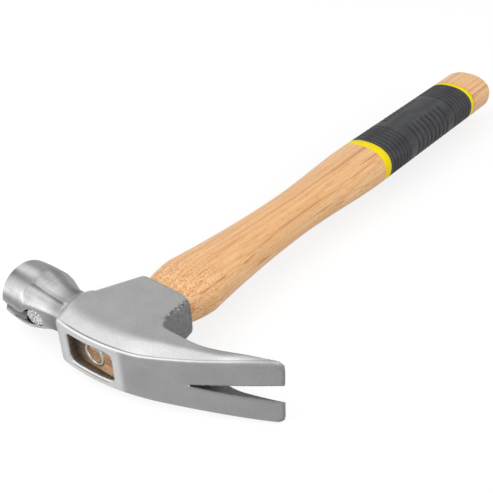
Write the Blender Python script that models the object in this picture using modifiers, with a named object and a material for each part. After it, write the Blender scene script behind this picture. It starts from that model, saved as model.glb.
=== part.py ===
"""Claw hammer: forged steel head, wedged hardwood handle, ribbed grip sleeve between two bands.

Metres. +X runs from the striking face to the claw, +Y from the head to the butt, and +Z up through
the cheek, so the hammer lies on its side. Shapes are drawn with the eye's centre at x = 0, a datum
just under the head's crown at y = 0 and the plane of symmetry at z = 0. The root empty then puts the
middle of the hammer's underside at the world origin.
"""

import math

import bmesh
import bpy

# Overall
OVERALL_LENGTH = 0.330  # datum to the butt
FACE_REACH = 0.0605  # eye centre to the striking face
CLAW_REACH = 0.0760  # eye centre to the claw tips
FIT_GAP = 0.0003  # clearance between pieces that touch

# Poll: a turned bell on an eight-sided neck
POLL_DEPTH = 0.0150  # poll axis below the datum
FACE_RADIUS = 0.0122
RIM_CHAMFER = 0.0014
BELL_RADIUS = 0.01425
BELL_CROWN_REACH = 0.0480  # eye centre to where the bell is fullest
NECK_SPAN = 0.0102  # centre to corner of the neck where it meets the body
NECK_FLARE = 0.0052  # growth of that span along the cove, to where the flats run out on the bell
NECK_COVE_START = 0.0280  # eye centre to where the cove starts
NECK_COVE_END = 0.0465  # eye centre to where the flats run out
NECK_COVE_POWER = 1.6  # how late the cove turns out
NECK_BACK_RADIUS = 0.0107  # the neck's rounded back, where it meets the body
NECK_BACK_START = 0.0305  # eye centre to where that back starts to swell into the bell
NECK_BACK_END = 0.0442
NECK_BACK_TURNS = [math.radians(angle) for angle in (11.0, 31.0, 51.0, 71.0)]  # corners behind the side flats
NECK_ROOT_REACH = 0.0250  # eye centre to the body's poll end

# Nail starter: a round-bottomed groove that runs from the face to a magnet, beside the poll's top line
NAIL_LINE_OFFSET = 0.0018  # groove and magnet below the plane of symmetry
GROOVE_RADIUS = 0.0026
GROOVE_DEPTH = 0.0042  # groove floor below the datum
MAGNET_RADIUS = 0.0045
MAGNET_THICKNESS = 0.0055
MAGNET_REACH = 0.0408  # eye centre to the middle of the magnet's face
MAGNET_DEPTH = 0.0046  # middle of the magnet's face below the datum
MAGNET_TILT = math.radians(14.0)  # of the magnet's axis, square to the neck's sloping flat
MAGNET_HOLE_PLAY = 0.0004  # how much wider the hole is on the side of the groove

# Top of the head: a crown over the eye, a knee and a long claw arc, each tangent to the next
RAMP_START = -0.0182  # the crown starts here, and the top falls from here to the neck
RAMP_DEPTH = 0.0055  # of the top where it meets the neck
CROWN_START_RISE = 0.0003  # above the datum
CROWN_START_SLOPE = math.radians(-6.2)
CROWN_END = 0.019
CROWN_SLOPE = math.radians(14.5)
KNEE_END = 0.031
KNEE_SLOPE = math.radians(25.4)
TIP_SLOPE = math.radians(33.0)

# Underside of the claw and widths of the head, as half widths across the cheeks
UNDERSIDE_DEPTH = 0.0238
UNDERSIDE_FLAT_END = 0.036
UNDERSIDE_FILLET = 0.0045  # between the claw's underside and the skirt
TIP_THICKNESS = 0.0012
TIP_CORNER = 0.0036
TOP_HALF_WIDTH = 0.0110
RAMP_HALF_WIDTH = 0.0110  # of the top where it starts to fall to the neck
ROOT_TOP_HALF_WIDTH = 0.0060  # of the top where it meets the neck
ROOT_HALF_WIDTH = 0.0098
WAIST_HALF_WIDTH = 0.0110
WAIST_REACH = 0.0240
CHEEK_HALF_WIDTH = 0.0129
CHEEK_END_REACH = 0.0212  # eye centre to the poll end of the flat cheeks
CLAW_HALF_WIDTH = 0.0168
CLAW_TOP_HALF_WIDTH = 0.0153
FLARE_START = 0.0340  # the claw widens from here
FLARE_END = 0.0660
FLARE_BEVEL = 0.80  # share of the flare that the bevel's lower edge has
BEVEL_HEIGHT = 0.0090  # sloping band between the top and the cheek
TOP_FILLET = 0.0008  # rounding of the top edge beside the eye
CRISP_EDGE_END = -0.0100  # where that rounding starts to grow towards the knee
KNEE_TOP_FILLET = 0.0020  # where the knee starts
TIP_TOP_FILLET = 0.0010  # and at the claw tips
BEVEL_FILLET = 0.0030
UNDER_FILLET = 0.0014
ROOT_FILLET = 0.0080  # rounding of the lower edges where the body meets the neck

# Skirt: the socket that runs down the handle from the cheeks, narrowing to its end
SKIRT_START = 0.0110
SKIRT_END = 0.0450
SKIRT_END_HALF_WIDTH = 0.0110
SKIRT_RELIEF = 0.00005  # the skirt lies this much inside the cheeks where the two run together
SKIRT_CLAW_REACH = 0.0186
SKIRT_END_CLAW_REACH = 0.0163
SKIRT_CLAW_CORNER = 0.0020
SKIRT_END_CLAW_CORNER = 0.0065
SKIRT_POLL_CORNER = 0.0080
SKIRT_SWEEP_START = 0.0190  # the poll side sweeps in from the neck below this depth
SKIRT_END_POLL_REACH = 0.0157
SKIRT_EDGE = 0.0006  # chamfer round the skirt's lower end

# Nail notch in the claw
NOTCH_ROOT = 0.0442  # eye centre to the notch's point
NOTCH_ROOT_GAP = 0.0010
NOTCH_TIP_GAP = 0.0086  # width of the notch at the claw tips
NOTCH_BEVEL = 0.40  # slope of the notch's walls, which open towards the underside
NOTCH_BEVEL_RUN = 0.0160  # distance from the point over which that slope grows

# Eye: half sizes and exponents of its superellipse, at the top and at the end of the skirt
EYE_HALF_LENGTH = 0.0126
EYE_HALF_WIDTH = 0.0074
EYE_SQUARENESS = 8.0
EYE_RIM = 0.0007  # chamfer round the eye's mouth
SOCKET_HALF_LENGTH = 0.0135
SOCKET_HALF_WIDTH = 0.0094
SOCKET_SQUARENESS = 3.0

# Handle: half lengths along X and half widths along Z
TENON_DEPTH = 0.0030  # end grain below the datum
SHOULDER_Y = 0.0615
SHOULDER_HALF_LENGTH = 0.0167
SHOULDER_HALF_WIDTH = 0.0122
SHOULDER_SWELL = 0.35  # how much the shoulder's growth slows towards its fullest point
NECK_Y = 0.1350
NECK_HALF_LENGTH = 0.0120
NECK_HALF_WIDTH = 0.0107
GRIP_HALF_LENGTH = 0.0158
GRIP_HALF_WIDTH = 0.0115
HANDLE_ROUNDNESS = 2.3  # superellipse exponent of the handle
BUTT_LENGTH = 0.0238  # bare wood behind the rear band
BUTT_ROUND = 0.0045

# Wedges in the end of the tenon
RING_RADIUS = 0.0057
RING_WALL = 0.0015
RING_HEIGHT = 0.0090
RING_PROUD = 0.0004
WEDGE_TOP_THICKNESS = 0.0032
WEDGE_TIP_THICKNESS = 0.0012
WEDGE_HEIGHT = 0.0280

# Grip: a rubber sleeve between two bands, set into the handle
GRIP_WALL = 0.0017
FRONT_BAND_WIDTH = 0.0064
REAR_BAND_WIDTH = 0.0038
SLEEVE_LENGTH = 0.0938
RIB_DEPTH = 0.0008
END_RIB_PITCH = 0.0034
END_RIB_COUNT = 6
END_RIB_MARGIN = 0.0034  # sleeve end to the first rib
SIDE_RIB_PITCH = 0.0047
SIDE_RIB_COUNT = 8
SIDE_RIB_FROM = 0.40  # share of the half length where the side ribs fade in
SIDE_RIB_FULL = 0.62

# Fineness of round shapes
TURN_STEPS = 40
OVAL_POINTS = 28
CORNER_STEPS = 3
ROUND_TURNS = [math.radians(angle) for angle in (30.0, 55.0, 75.0, 90.0)]  # steps of a rounded end

# Places and slopes that follow from the sizes above
REAR_BAND_END = OVERALL_LENGTH - BUTT_LENGTH
SLEEVE_END = REAR_BAND_END - REAR_BAND_WIDTH
SLEEVE_START = SLEEVE_END - SLEEVE_LENGTH
FRONT_BAND_START = SLEEVE_START - FRONT_BAND_WIDTH
CHEEK_TAPER = (CHEEK_HALF_WIDTH - SKIRT_END_HALF_WIDTH) / (SKIRT_END - BEVEL_HEIGHT)


def clear_scene():
    for obj in list(bpy.data.objects):
        bpy.data.objects.remove(obj, do_unlink=True)


def make_collection(name):
    collection = bpy.data.collections.new(name)
    bpy.context.scene.collection.children.link(collection)
    return collection


def make_material(name, colour, roughness, metallic):
    material = bpy.data.materials.new(name)
    material.use_nodes = True
    shader = material.node_tree.nodes["Principled BSDF"]
    shader.inputs["Base Color"].default_value = (*colour, 1.0)
    shader.inputs["Roughness"].default_value = roughness
    shader.inputs["Metallic"].default_value = metallic
    return material


def add_object(name, mesh, collection, root):
    obj = bpy.data.objects.new(name, mesh)
    collection.objects.link(obj)
    obj.parent = root
    return obj


def mark_cutter(obj):
    obj.hide_render = True
    obj.display_type = "WIRE"
    return obj


def finish_piece(obj, material):
    obj.data.materials.append(material)
    obj.data.shade_smooth()
    obj.data.set_sharp_from_angle(angle=math.radians(30))
    return obj


def cut(target, tool, operation):
    modifier = target.modifiers.new(tool.name, "BOOLEAN")
    modifier.operation = operation
    modifier.object = tool
    modifier.solver = "EXACT"


def loft(name, rings, closed=False):
    """A skin over rings of equal count: capped at both ends, or joined last to first where closed."""
    shape = bmesh.new()
    loops = [[shape.verts.new(point) for point in ring] for ring in rings]
    pairs = list(zip(loops, loops[1:]))
    if closed:
        pairs.append((loops[-1], loops[0]))
    for low, high in pairs:
        for i in range(len(low)):
            j = (i + 1) % len(low)
            shape.faces.new((low[i], low[j], high[j], high[i]))
    if not closed:
        shape.faces.new(loops[0])
        shape.faces.new(loops[-1])
    bmesh.ops.recalc_face_normals(shape, faces=shape.faces)
    mesh = bpy.data.meshes.new(name)
    shape.to_mesh(mesh)
    shape.free()
    return mesh


def cylinder_mesh(name, radius, depth, segments):
    shape = bmesh.new()
    bmesh.ops.create_cone(
        shape, cap_ends=True, segments=segments, radius1=radius, radius2=radius, depth=depth
    )
    mesh = bpy.data.meshes.new(name)
    shape.to_mesh(mesh)
    shape.free()
    return mesh


def turned(name, profile, collection, root):
    """A profile of (radius, height) points, from its top down, turned about the object's own Z."""
    shape = bmesh.new()
    points = [shape.verts.new((radius, 0.0, height)) for radius, height in profile]
    for start, end in zip(points, points[1:]):
        shape.edges.new((start, end))
    if profile[0][0] > 0.0:
        shape.edges.new((points[-1], points[0]))
    mesh = bpy.data.meshes.new(name)
    shape.to_mesh(mesh)
    shape.free()
    obj = add_object(name, mesh, collection, root)
    screw = obj.modifiers.new("turn", "SCREW")
    screw.axis = "Z"
    screw.steps = TURN_STEPS
    screw.render_steps = TURN_STEPS
    screw.use_merge_vertices = True
    screw.merge_threshold = 0.00001
    return obj


def lerp(start, end, share):
    return start + (end - start) * share


def ease(share):
    share = min(max(share, 0.0), 1.0)
    return share * share * (3.0 - 2.0 * share)


def arc_rise(start_slope, end_slope, run, distance):
    """Rise at a distance along an arc that turns from one slope angle to another over a run."""
    turn = math.sin(end_slope) - math.sin(start_slope)
    radius = run / turn
    slope = math.asin(math.sin(start_slope) + distance / radius)
    return radius * (math.cos(start_slope) - math.cos(slope))


def towards(start, end, distance):
    """The point a distance from start on the way to end, at most a little short of half way."""
    length = math.hypot(end[0] - start[0], end[1] - start[1])
    share = min(distance / length, 0.45)
    return lerp(start[0], end[0], share), lerp(start[1], end[1], share)


def rounded_outline(corners, reaches, steps):
    """A flat outline whose corners are rounded, each between the points a reach before and after it."""
    points = []
    for i, corner in enumerate(corners):
        first = towards(corner, corners[i - 1], reaches[i])
        last = towards(corner, corners[(i + 1) % len(corners)], reaches[i])
        for step in range(steps + 1):
            t = step / steps
            x = lerp(lerp(first[0], corner[0], t), lerp(corner[0], last[0], t), t)
            y = lerp(lerp(first[1], corner[1], t), lerp(corner[1], last[1], t), t)
            points.append((x, y))
    return points


def oval(y, half_length, half_width, exponent):
    """A superellipse across the handle's axis, at one place along it."""
    points = []
    for i in range(OVAL_POINTS):
        angle = 2.0 * math.pi * i / OVAL_POINTS
        x = math.copysign(abs(math.cos(angle)) ** (2.0 / exponent), math.cos(angle))
        z = math.copysign(abs(math.sin(angle)) ** (2.0 / exponent), math.sin(angle))
        points.append((half_length * x, y, half_width * z))
    return points


def top_depth(x):
    """How far the top of the head lies below the datum, less than 0 on the crown."""
    if x < RAMP_START:
        return lerp(-CROWN_START_RISE, RAMP_DEPTH, (RAMP_START - x) / (RAMP_START + NECK_ROOT_REACH))
    depth = -CROWN_START_RISE
    start = RAMP_START
    slope = CROWN_START_SLOPE
    for end, end_slope in ((CROWN_END, CROWN_SLOPE), (KNEE_END, KNEE_SLOPE), (CLAW_REACH, TIP_SLOPE)):
        if x > start:
            depth += arc_rise(slope, end_slope, end - start, min(x, end) - start)
        start = end
        slope = end_slope
    return depth


def under_depth(x):
    """Depth of the underside: filleted to the skirt, flat, then one arc to the tip's thickness."""
    run = CLAW_REACH - UNDERSIDE_FLAT_END
    drop = top_depth(CLAW_REACH) + TIP_THICKNESS - UNDERSIDE_DEPTH
    radius = (run * run + drop * drop) / (2.0 * drop)
    distance = max(x - UNDERSIDE_FLAT_END, 0.0)
    depth = UNDERSIDE_DEPTH + radius - math.sqrt(radius * radius - distance * distance)
    inward = min(max(SKIRT_CLAW_REACH + UNDERSIDE_FILLET - x, 0.0), UNDERSIDE_FILLET)
    fillet = UNDERSIDE_FILLET - math.sqrt(UNDERSIDE_FILLET**2 - inward**2)
    return depth + fillet * min(max(x / SKIRT_CLAW_REACH, 0.0), 1.0)


def tip_inset(x):
    """How much the rounded corners of the claw take off its half width."""
    distance = max(x - CLAW_REACH + TIP_CORNER, 0.0)
    return TIP_CORNER - math.sqrt(max(TIP_CORNER**2 - distance**2, 0.0))


def top_half_width(x):
    if x < RAMP_START:
        share = (RAMP_START - x) / (RAMP_START + NECK_ROOT_REACH)
        width = lerp(RAMP_HALF_WIDTH, ROOT_TOP_HALF_WIDTH, share)
    elif x < 0.0:
        width = lerp(TOP_HALF_WIDTH, RAMP_HALF_WIDTH, (x / RAMP_START) ** 2)
    elif x < WAIST_REACH:
        width = lerp(TOP_HALF_WIDTH, WAIST_HALF_WIDTH, (x / WAIST_REACH) ** 2)
    else:
        share = (x - WAIST_REACH) / (CLAW_REACH - WAIST_REACH)
        width = lerp(WAIST_HALF_WIDTH, CLAW_TOP_HALF_WIDTH, share)
    return width - tip_inset(x)


def cheek_half_width(x, y):
    """Half width of the tapering cheeks, drawn in towards the neck at the poll end."""
    width = CHEEK_HALF_WIDTH - CHEEK_TAPER * (y - BEVEL_HEIGHT)
    if x < -CHEEK_END_REACH:
        share = (-CHEEK_END_REACH - x) / (NECK_ROOT_REACH - CHEEK_END_REACH)
        width = lerp(width, ROOT_HALF_WIDTH, share)
    return width


def top_fillet(x):
    """Reach of the rounding along the top edge: crisp beside the eye, and fullest where the knee starts."""
    if x < CROWN_END:
        return lerp(TOP_FILLET, KNEE_TOP_FILLET, ease((x - CRISP_EDGE_END) / (CROWN_END - CRISP_EDGE_END)))
    return lerp(KNEE_TOP_FILLET, TIP_TOP_FILLET, ease((x - CROWN_END) / (FLARE_END - CROWN_END)))


def body_section(x):
    """The head's outline across X: top, sloping bevel, cheek and underside, with rounded edges."""
    top = top_depth(x)
    under = under_depth(x)
    bevel = top + min(BEVEL_HEIGHT, 0.5 * (under - top))
    flare = ease((x - FLARE_START) / (FLARE_END - FLARE_START))
    edge = top_half_width(x)
    ridge = lerp(cheek_half_width(x, bevel), CLAW_HALF_WIDTH, FLARE_BEVEL * flare) - tip_inset(x)
    base = lerp(cheek_half_width(x, under), CLAW_HALF_WIDTH, flare) - tip_inset(x)
    right = [(edge, top), (ridge, bevel), (base, under)]
    corners = right + [(-z, y) for z, y in reversed(right)]
    share = min(max(x - SKIRT_CLAW_REACH, 0.0) / (FLARE_START - SKIRT_CLAW_REACH), 1.0)
    lower = lerp(SKIRT_CLAW_CORNER, UNDER_FILLET, share)
    lower = lerp(lower, ROOT_FILLET, ease((RAMP_START - x) / (RAMP_START + NECK_ROOT_REACH)))
    fillets = [top_fillet(x), BEVEL_FILLET, lower]
    outline = rounded_outline(corners, fillets + fillets[::-1], CORNER_STEPS)
    return [(x, y, z) for z, y in outline]


def spread(start, end, count):
    return [lerp(start, end, i / count) for i in range(count + 1)]


def body_stations():
    poll_end = spread(-NECK_ROOT_REACH, -CHEEK_END_REACH, 2) + spread(-CHEEK_END_REACH, RAMP_START, 2)[1:]
    eye = spread(RAMP_START, SKIRT_CLAW_REACH, 9)[1:]
    fillet = [SKIRT_CLAW_REACH + UNDERSIDE_FILLET * (1.0 - math.cos(turn)) for turn in ROUND_TURNS]
    knee = spread(fillet[-1], KNEE_END, 2)[1:]
    claw = spread(KNEE_END, CLAW_REACH - TIP_CORNER, 7)[1:]
    tip = [CLAW_REACH - TIP_CORNER * (1.0 - math.sin(turn)) for turn in ROUND_TURNS]
    return poll_end + eye + fillet + knee + claw + tip


def neck_span(reach):
    """Centre to corner of the neck's flats: even by the body, then a cove that flares to the bell."""
    share = max(reach - NECK_COVE_START, 0.0) / (NECK_COVE_END - NECK_COVE_START)
    return NECK_SPAN + NECK_FLARE * share**NECK_COVE_POWER


def neck_ring(reach):
    """The neck across X: five flats over its top and sides, and a fuller, rounded back."""
    span = neck_span(reach)
    flat = span * math.cos(math.pi / 8)
    share = (reach - NECK_BACK_START) / (NECK_BACK_END - NECK_BACK_START)
    full = BELL_RADIUS / math.cos(0.5 * (NECK_BACK_TURNS[1] - NECK_BACK_TURNS[0]))
    back = lerp(NECK_BACK_RADIUS, full, ease(share))
    corners = [(math.pi / 8, span), (3.0 * math.pi / 8, span)]
    for turn in NECK_BACK_TURNS:
        corners.append((0.5 * math.pi + turn, min(back, flat / math.cos(turn))))
    mirrored = [(-angle, radius) for angle, radius in reversed(corners)]
    ring = corners + [(math.pi, back)] + mirrored
    return [(-reach, POLL_DEPTH - r * math.cos(a), r * math.sin(a)) for a, r in ring]


def make_poll(cutters, root):
    """The turned bell, trimmed by a cove that leaves scalloped flats behind it."""
    rim_reach = FACE_REACH - RIM_CHAMFER
    rim_radius = FACE_RADIUS + RIM_CHAMFER
    inner_reach = NECK_ROOT_REACH - RIM_CHAMFER
    profile = [(0.0, FACE_REACH), (FACE_RADIUS, FACE_REACH), (rim_radius, rim_reach)]
    for share in (0.25, 0.5, 0.75, 1.0):
        reach = lerp(rim_reach, BELL_CROWN_REACH, share)
        swell = 1.0 - (1.0 - share) ** 2
        profile.append((lerp(rim_radius, BELL_RADIUS, swell), reach))
    profile += [(BELL_RADIUS, inner_reach), (0.0, inner_reach)]
    bell = mark_cutter(turned("poll_bell", profile, cutters, root))
    bell.location = (0.0, POLL_DEPTH, 0.0)
    bell.rotation_euler = (0.0, -math.pi / 2, 0.0)

    stations = [inner_reach - RIM_CHAMFER] + spread(NECK_COVE_START, NECK_COVE_END, 7)
    stations.append(FACE_REACH + RIM_CHAMFER)
    mesh = loft("poll_neck", [neck_ring(reach) for reach in stations])
    neck = mark_cutter(add_object("poll_neck", mesh, cutters, root))
    cut(bell, neck, "INTERSECT")
    return bell


def skirt_poll_reach(y):
    """The skirt's poll side: upright in the neck, then a straight sweep to the skirt's end."""
    share = max(y - SKIRT_SWEEP_START, 0.0) / (SKIRT_END - SKIRT_SWEEP_START)
    return lerp(NECK_ROOT_REACH, SKIRT_END_POLL_REACH, share)


def skirt_section(y, inset=0.0):
    share = max(y - SKIRT_SWEEP_START, 0.0) / (SKIRT_END - SKIRT_SWEEP_START)
    low = -skirt_poll_reach(y) + inset
    high = lerp(SKIRT_CLAW_REACH, SKIRT_END_CLAW_REACH, share) - inset
    half = cheek_half_width(0.0, y) - SKIRT_RELIEF - inset
    corners = [(low, -half), (high, -half), (high, half), (low, half)]
    corner = lerp(SKIRT_CLAW_CORNER, SKIRT_END_CLAW_CORNER, share)
    reaches = [SKIRT_POLL_CORNER, corner, corner, SKIRT_POLL_CORNER]
    return [(x, y, z) for x, z in rounded_outline(corners, reaches, CORNER_STEPS + 1)]


def make_skirt(cutters, root):
    """The socket below the cheeks, with a small chamfer at its end."""
    stations = [SKIRT_START] + spread(SKIRT_SWEEP_START, SKIRT_END - SKIRT_EDGE, 3)
    rings = [skirt_section(y) for y in stations]
    rings.append(skirt_section(SKIRT_END, SKIRT_EDGE))
    return mark_cutter(add_object("skirt", loft("skirt", rings), cutters, root))


def socket_size(y, clearance=0.0):
    """Half length, half width and exponent of the eye at a depth, less a clearance."""
    share = y / SKIRT_END
    length = lerp(EYE_HALF_LENGTH, SOCKET_HALF_LENGTH, share) - clearance
    width = lerp(EYE_HALF_WIDTH, SOCKET_HALF_WIDTH, share) - clearance
    return length, width, lerp(EYE_SQUARENESS, SOCKET_SQUARENESS, ease(share))


def crest_depth():
    """Depth of the crown's highest line, which is less than 0."""
    return min(top_depth(x) for x in body_stations())


def make_eye(cutters, root):
    """The tapered hole for the handle, with a small chamfer at its mouth that follows the crown."""
    length, width, squareness = socket_size(0.0)
    above = oval(crest_depth() - EYE_RIM, length + EYE_RIM, width + EYE_RIM, squareness)
    rings = [above, [(x, top_depth(x), z) for x, y, z in above]]
    rings.append([(x, top_depth(x) + EYE_RIM, z) for x, y, z in oval(0.0, length, width, squareness)])
    rings += [oval(y, *socket_size(y)) for y in spread(TENON_DEPTH, SKIRT_END + EYE_RIM, 4)]
    return mark_cutter(add_object("eye", loft("eye", rings), cutters, root))


def make_notch(cutters, root):
    """The V between the claws: it widens to the tips, and its walls slope out to the underside."""
    rings = []
    for x in spread(NOTCH_ROOT, CLAW_REACH + TIP_CORNER, 6):
        place = min(x, CLAW_REACH)
        low = top_depth(place) - BEVEL_HEIGHT
        high = under_depth(place) + TIP_CORNER
        share = (x - NOTCH_ROOT) / (CLAW_REACH - NOTCH_ROOT)
        gap = 0.5 * lerp(NOTCH_ROOT_GAP, NOTCH_TIP_GAP, share)
        slope = NOTCH_BEVEL * ease((x - NOTCH_ROOT) / NOTCH_BEVEL_RUN)
        wide = gap + slope * (high - top_depth(place))
        half = [(gap, low), (gap, top_depth(place)), (wide, high)]
        rings.append([(x, y, z) for z, y in half + [(-z, y) for z, y in reversed(half)]])
    return mark_cutter(add_object("notch", loft("notch", rings), cutters, root))


def make_groove(cutters, root):
    start = MAGNET_REACH
    end = FACE_REACH + RIM_CHAMFER
    mesh = cylinder_mesh("nail_groove", GROOVE_RADIUS, end - start, TURN_STEPS // 2)
    groove = mark_cutter(add_object("nail_groove", mesh, cutters, root))
    groove.rotation_euler = (0.0, math.pi / 2, 0.0)
    groove.location = (-0.5 * (start + end), GROOVE_DEPTH - GROOVE_RADIUS, -NAIL_LINE_OFFSET)
    return groove


def lay_on_magnet_axis(obj, inward, play=0.0):
    """Turns a cylinder to the magnet's axis, with its middle a distance inward from the magnet's face."""
    x = -MAGNET_REACH - play - inward * math.sin(MAGNET_TILT)
    y = MAGNET_DEPTH + inward * math.cos(MAGNET_TILT)
    obj.rotation_euler = (-math.pi / 2, 0.0, MAGNET_TILT)
    obj.location = (x, y, -NAIL_LINE_OFFSET)


def make_magnet_hole(cutters, root):
    bottom = MAGNET_THICKNESS + FIT_GAP
    radius = MAGNET_RADIUS + FIT_GAP + MAGNET_HOLE_PLAY
    mesh = cylinder_mesh("magnet_hole", radius, MAGNET_DEPTH + bottom, TURN_STEPS // 2)
    hole = mark_cutter(add_object("magnet_hole", mesh, cutters, root))
    lay_on_magnet_axis(hole, 0.5 * (bottom - MAGNET_DEPTH), MAGNET_HOLE_PLAY)
    return hole


def make_head(parts, cutters, root):
    rings = [body_section(x) for x in body_stations()]
    head = add_object("hammer_head", loft("hammer_head", rings), parts, root)
    cut(head, make_skirt(cutters, root), "UNION")
    cut(head, make_poll(cutters, root), "UNION")
    for make_cutter in (make_eye, make_notch, make_groove, make_magnet_hole):
        cut(head, make_cutter(cutters, root), "DIFFERENCE")
    return finish_piece(head, make_material("forged_steel", (0.45, 0.45, 0.46), 0.35, 1.0))


def make_magnet(parts, root):
    mesh = cylinder_mesh("nail_magnet", MAGNET_RADIUS, MAGNET_THICKNESS, TURN_STEPS // 2)
    magnet = add_object("nail_magnet", mesh, parts, root)
    lay_on_magnet_axis(magnet, 0.5 * MAGNET_THICKNESS)
    return finish_piece(magnet, make_material("magnet", (0.62, 0.62, 0.63), 0.4, 1.0))


def handle_size(y):
    """Half length and half width of the bare handle, from the skirt to the butt."""
    if y < SHOULDER_Y:
        share = (y - SKIRT_END) / (SHOULDER_Y - SKIRT_END)
        share *= 1.0 + SHOULDER_SWELL * (1.0 - share)
        socket = socket_size(SKIRT_END, FIT_GAP)
        return lerp(socket[0], SHOULDER_HALF_LENGTH, share), lerp(socket[1], SHOULDER_HALF_WIDTH, share)
    if y < NECK_Y:
        share = 1.0 - (1.0 - (y - SHOULDER_Y) / (NECK_Y - SHOULDER_Y)) ** 2
        length = lerp(SHOULDER_HALF_LENGTH, NECK_HALF_LENGTH, share)
        return length, lerp(SHOULDER_HALF_WIDTH, NECK_HALF_WIDTH, share)
    share = ease((y - NECK_Y) / (FRONT_BAND_START - NECK_Y))
    length = lerp(NECK_HALF_LENGTH, GRIP_HALF_LENGTH, share)
    return length, lerp(NECK_HALF_WIDTH, GRIP_HALF_WIDTH, share)


def handle_ring(y, inset=0.0):
    length, width = handle_size(y)
    return oval(y, length - inset, width - inset, HANDLE_ROUNDNESS)


def tenon_rings():
    """The handle inside the eye, and a blend from its squarish end to the oval shoulder."""
    rings = [oval(y, *socket_size(y, FIT_GAP)) for y in spread(TENON_DEPTH, SKIRT_END, 4)]
    for y in spread(SKIRT_END, SHOULDER_Y, 4)[1:]:
        share = (y - SKIRT_END) / (SHOULDER_Y - SKIRT_END)
        rings.append(oval(y, *handle_size(y), lerp(SOCKET_SQUARENESS, HANDLE_ROUNDNESS, share)))
    return rings


def butt_rings():
    start = OVERALL_LENGTH - BUTT_ROUND
    rings = [handle_ring(REAR_BAND_END), handle_ring(start)]
    for turn in ROUND_TURNS:
        inset = BUTT_ROUND * (1.0 - math.cos(turn))
        rings.append(handle_ring(start + BUTT_ROUND * math.sin(turn), inset))
    return rings


def make_ring_pocket(cutters, root):
    """The space that the ring wedge takes up in the end grain."""
    outer = RING_RADIUS + FIT_GAP
    inner = RING_RADIUS - RING_WALL - FIT_GAP
    profile = [(outer, RING_HEIGHT), (outer, -RING_HEIGHT - FIT_GAP)]
    profile += [(inner, -RING_HEIGHT - FIT_GAP), (inner, RING_HEIGHT)]
    pocket = mark_cutter(turned("ring_pocket", profile, cutters, root))
    pocket.rotation_euler = (math.pi / 2, 0.0, 0.0)
    pocket.location = (0.0, TENON_DEPTH - RING_PROUD, 0.0)
    return pocket


def wedge_rings(clearance, proud, half_length):
    """A slab along the eye that tapers from the end grain down."""
    rings = []
    top = 0.5 * WEDGE_TOP_THICKNESS + clearance
    tip = 0.5 * WEDGE_TIP_THICKNESS + clearance
    for share in (-proud / WEDGE_HEIGHT, 1.0 + clearance / WEDGE_HEIGHT):
        half = lerp(top, tip, share)
        y = TENON_DEPTH + WEDGE_HEIGHT * share
        corners = ((-half_length, -half), (half_length, -half), (half_length, half), (-half_length, half))
        rings.append([(x, y, z) for x, z in corners])
    return rings


def make_handle(parts, cutters, root, pocket):
    rings = tenon_rings()
    rings += [handle_ring(y) for y in spread(SHOULDER_Y, NECK_Y, 9)[1:]]
    rings += [handle_ring(y) for y in spread(NECK_Y, FRONT_BAND_START, 7)[1:]]
    rings += [handle_ring(FRONT_BAND_START, GRIP_WALL), handle_ring(REAR_BAND_END, GRIP_WALL)]
    rings += butt_rings()
    handle = add_object("handle", loft("handle", rings), parts, root)
    kerf_rings = wedge_rings(FIT_GAP, BEVEL_HEIGHT, SOCKET_HALF_LENGTH)
    kerf = mark_cutter(add_object("wedge_kerf", loft("wedge_kerf", kerf_rings), cutters, root))
    cut(handle, kerf, "DIFFERENCE")
    cut(handle, pocket, "DIFFERENCE")
    return finish_piece(handle, make_material("hardwood", (0.72, 0.47, 0.24), 0.5, 0.0))


def make_wooden_wedge(parts, root, pocket):
    half_length = socket_size(TENON_DEPTH, FIT_GAP)[0]
    wedge = add_object("wooden_wedge", loft("wooden_wedge", wedge_rings(0.0, 0.0, half_length)), parts, root)
    cut(wedge, pocket, "DIFFERENCE")
    return finish_piece(wedge, make_material("wedge_wood", (0.62, 0.40, 0.21), 0.6, 0.0))


def make_ring_wedge(parts, root):
    inner = RING_RADIUS - RING_WALL
    profile = [(RING_RADIUS, 0.0), (RING_RADIUS, -RING_HEIGHT), (inner, -RING_HEIGHT), (inner, 0.0)]
    ring = turned("ring_wedge", profile, parts, root)
    ring.rotation_euler = (math.pi / 2, 0.0, 0.0)
    ring.location = (0.0, TENON_DEPTH - RING_PROUD, 0.0)
    return finish_piece(ring, make_material("wedge_steel", (0.55, 0.56, 0.56), 0.4, 1.0))


def tube(name, outer_rings, parts, root):
    """A sleeve round the handle's seat, from its outer rings in order along the handle."""
    start = outer_rings[0][0][1]
    end = outer_rings[-1][0][1]
    inset = GRIP_WALL - FIT_GAP
    rings = outer_rings + [handle_ring(end, inset), handle_ring(start, inset)]
    return add_object(name, loft(name, rings, closed=True), parts, root)


def make_bands(parts, root):
    material = make_material("band_yellow", (0.90, 0.78, 0.03), 0.45, 0.0)
    front = (FRONT_BAND_START + FIT_GAP, SLEEVE_START)
    rear = (SLEEVE_END, REAR_BAND_END - FIT_GAP)
    for name, (start, end) in (("front_band", front), ("rear_band", rear)):
        band = tube(name, [handle_ring(start), handle_ring(end)], parts, root)
        finish_piece(band, material)


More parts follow.
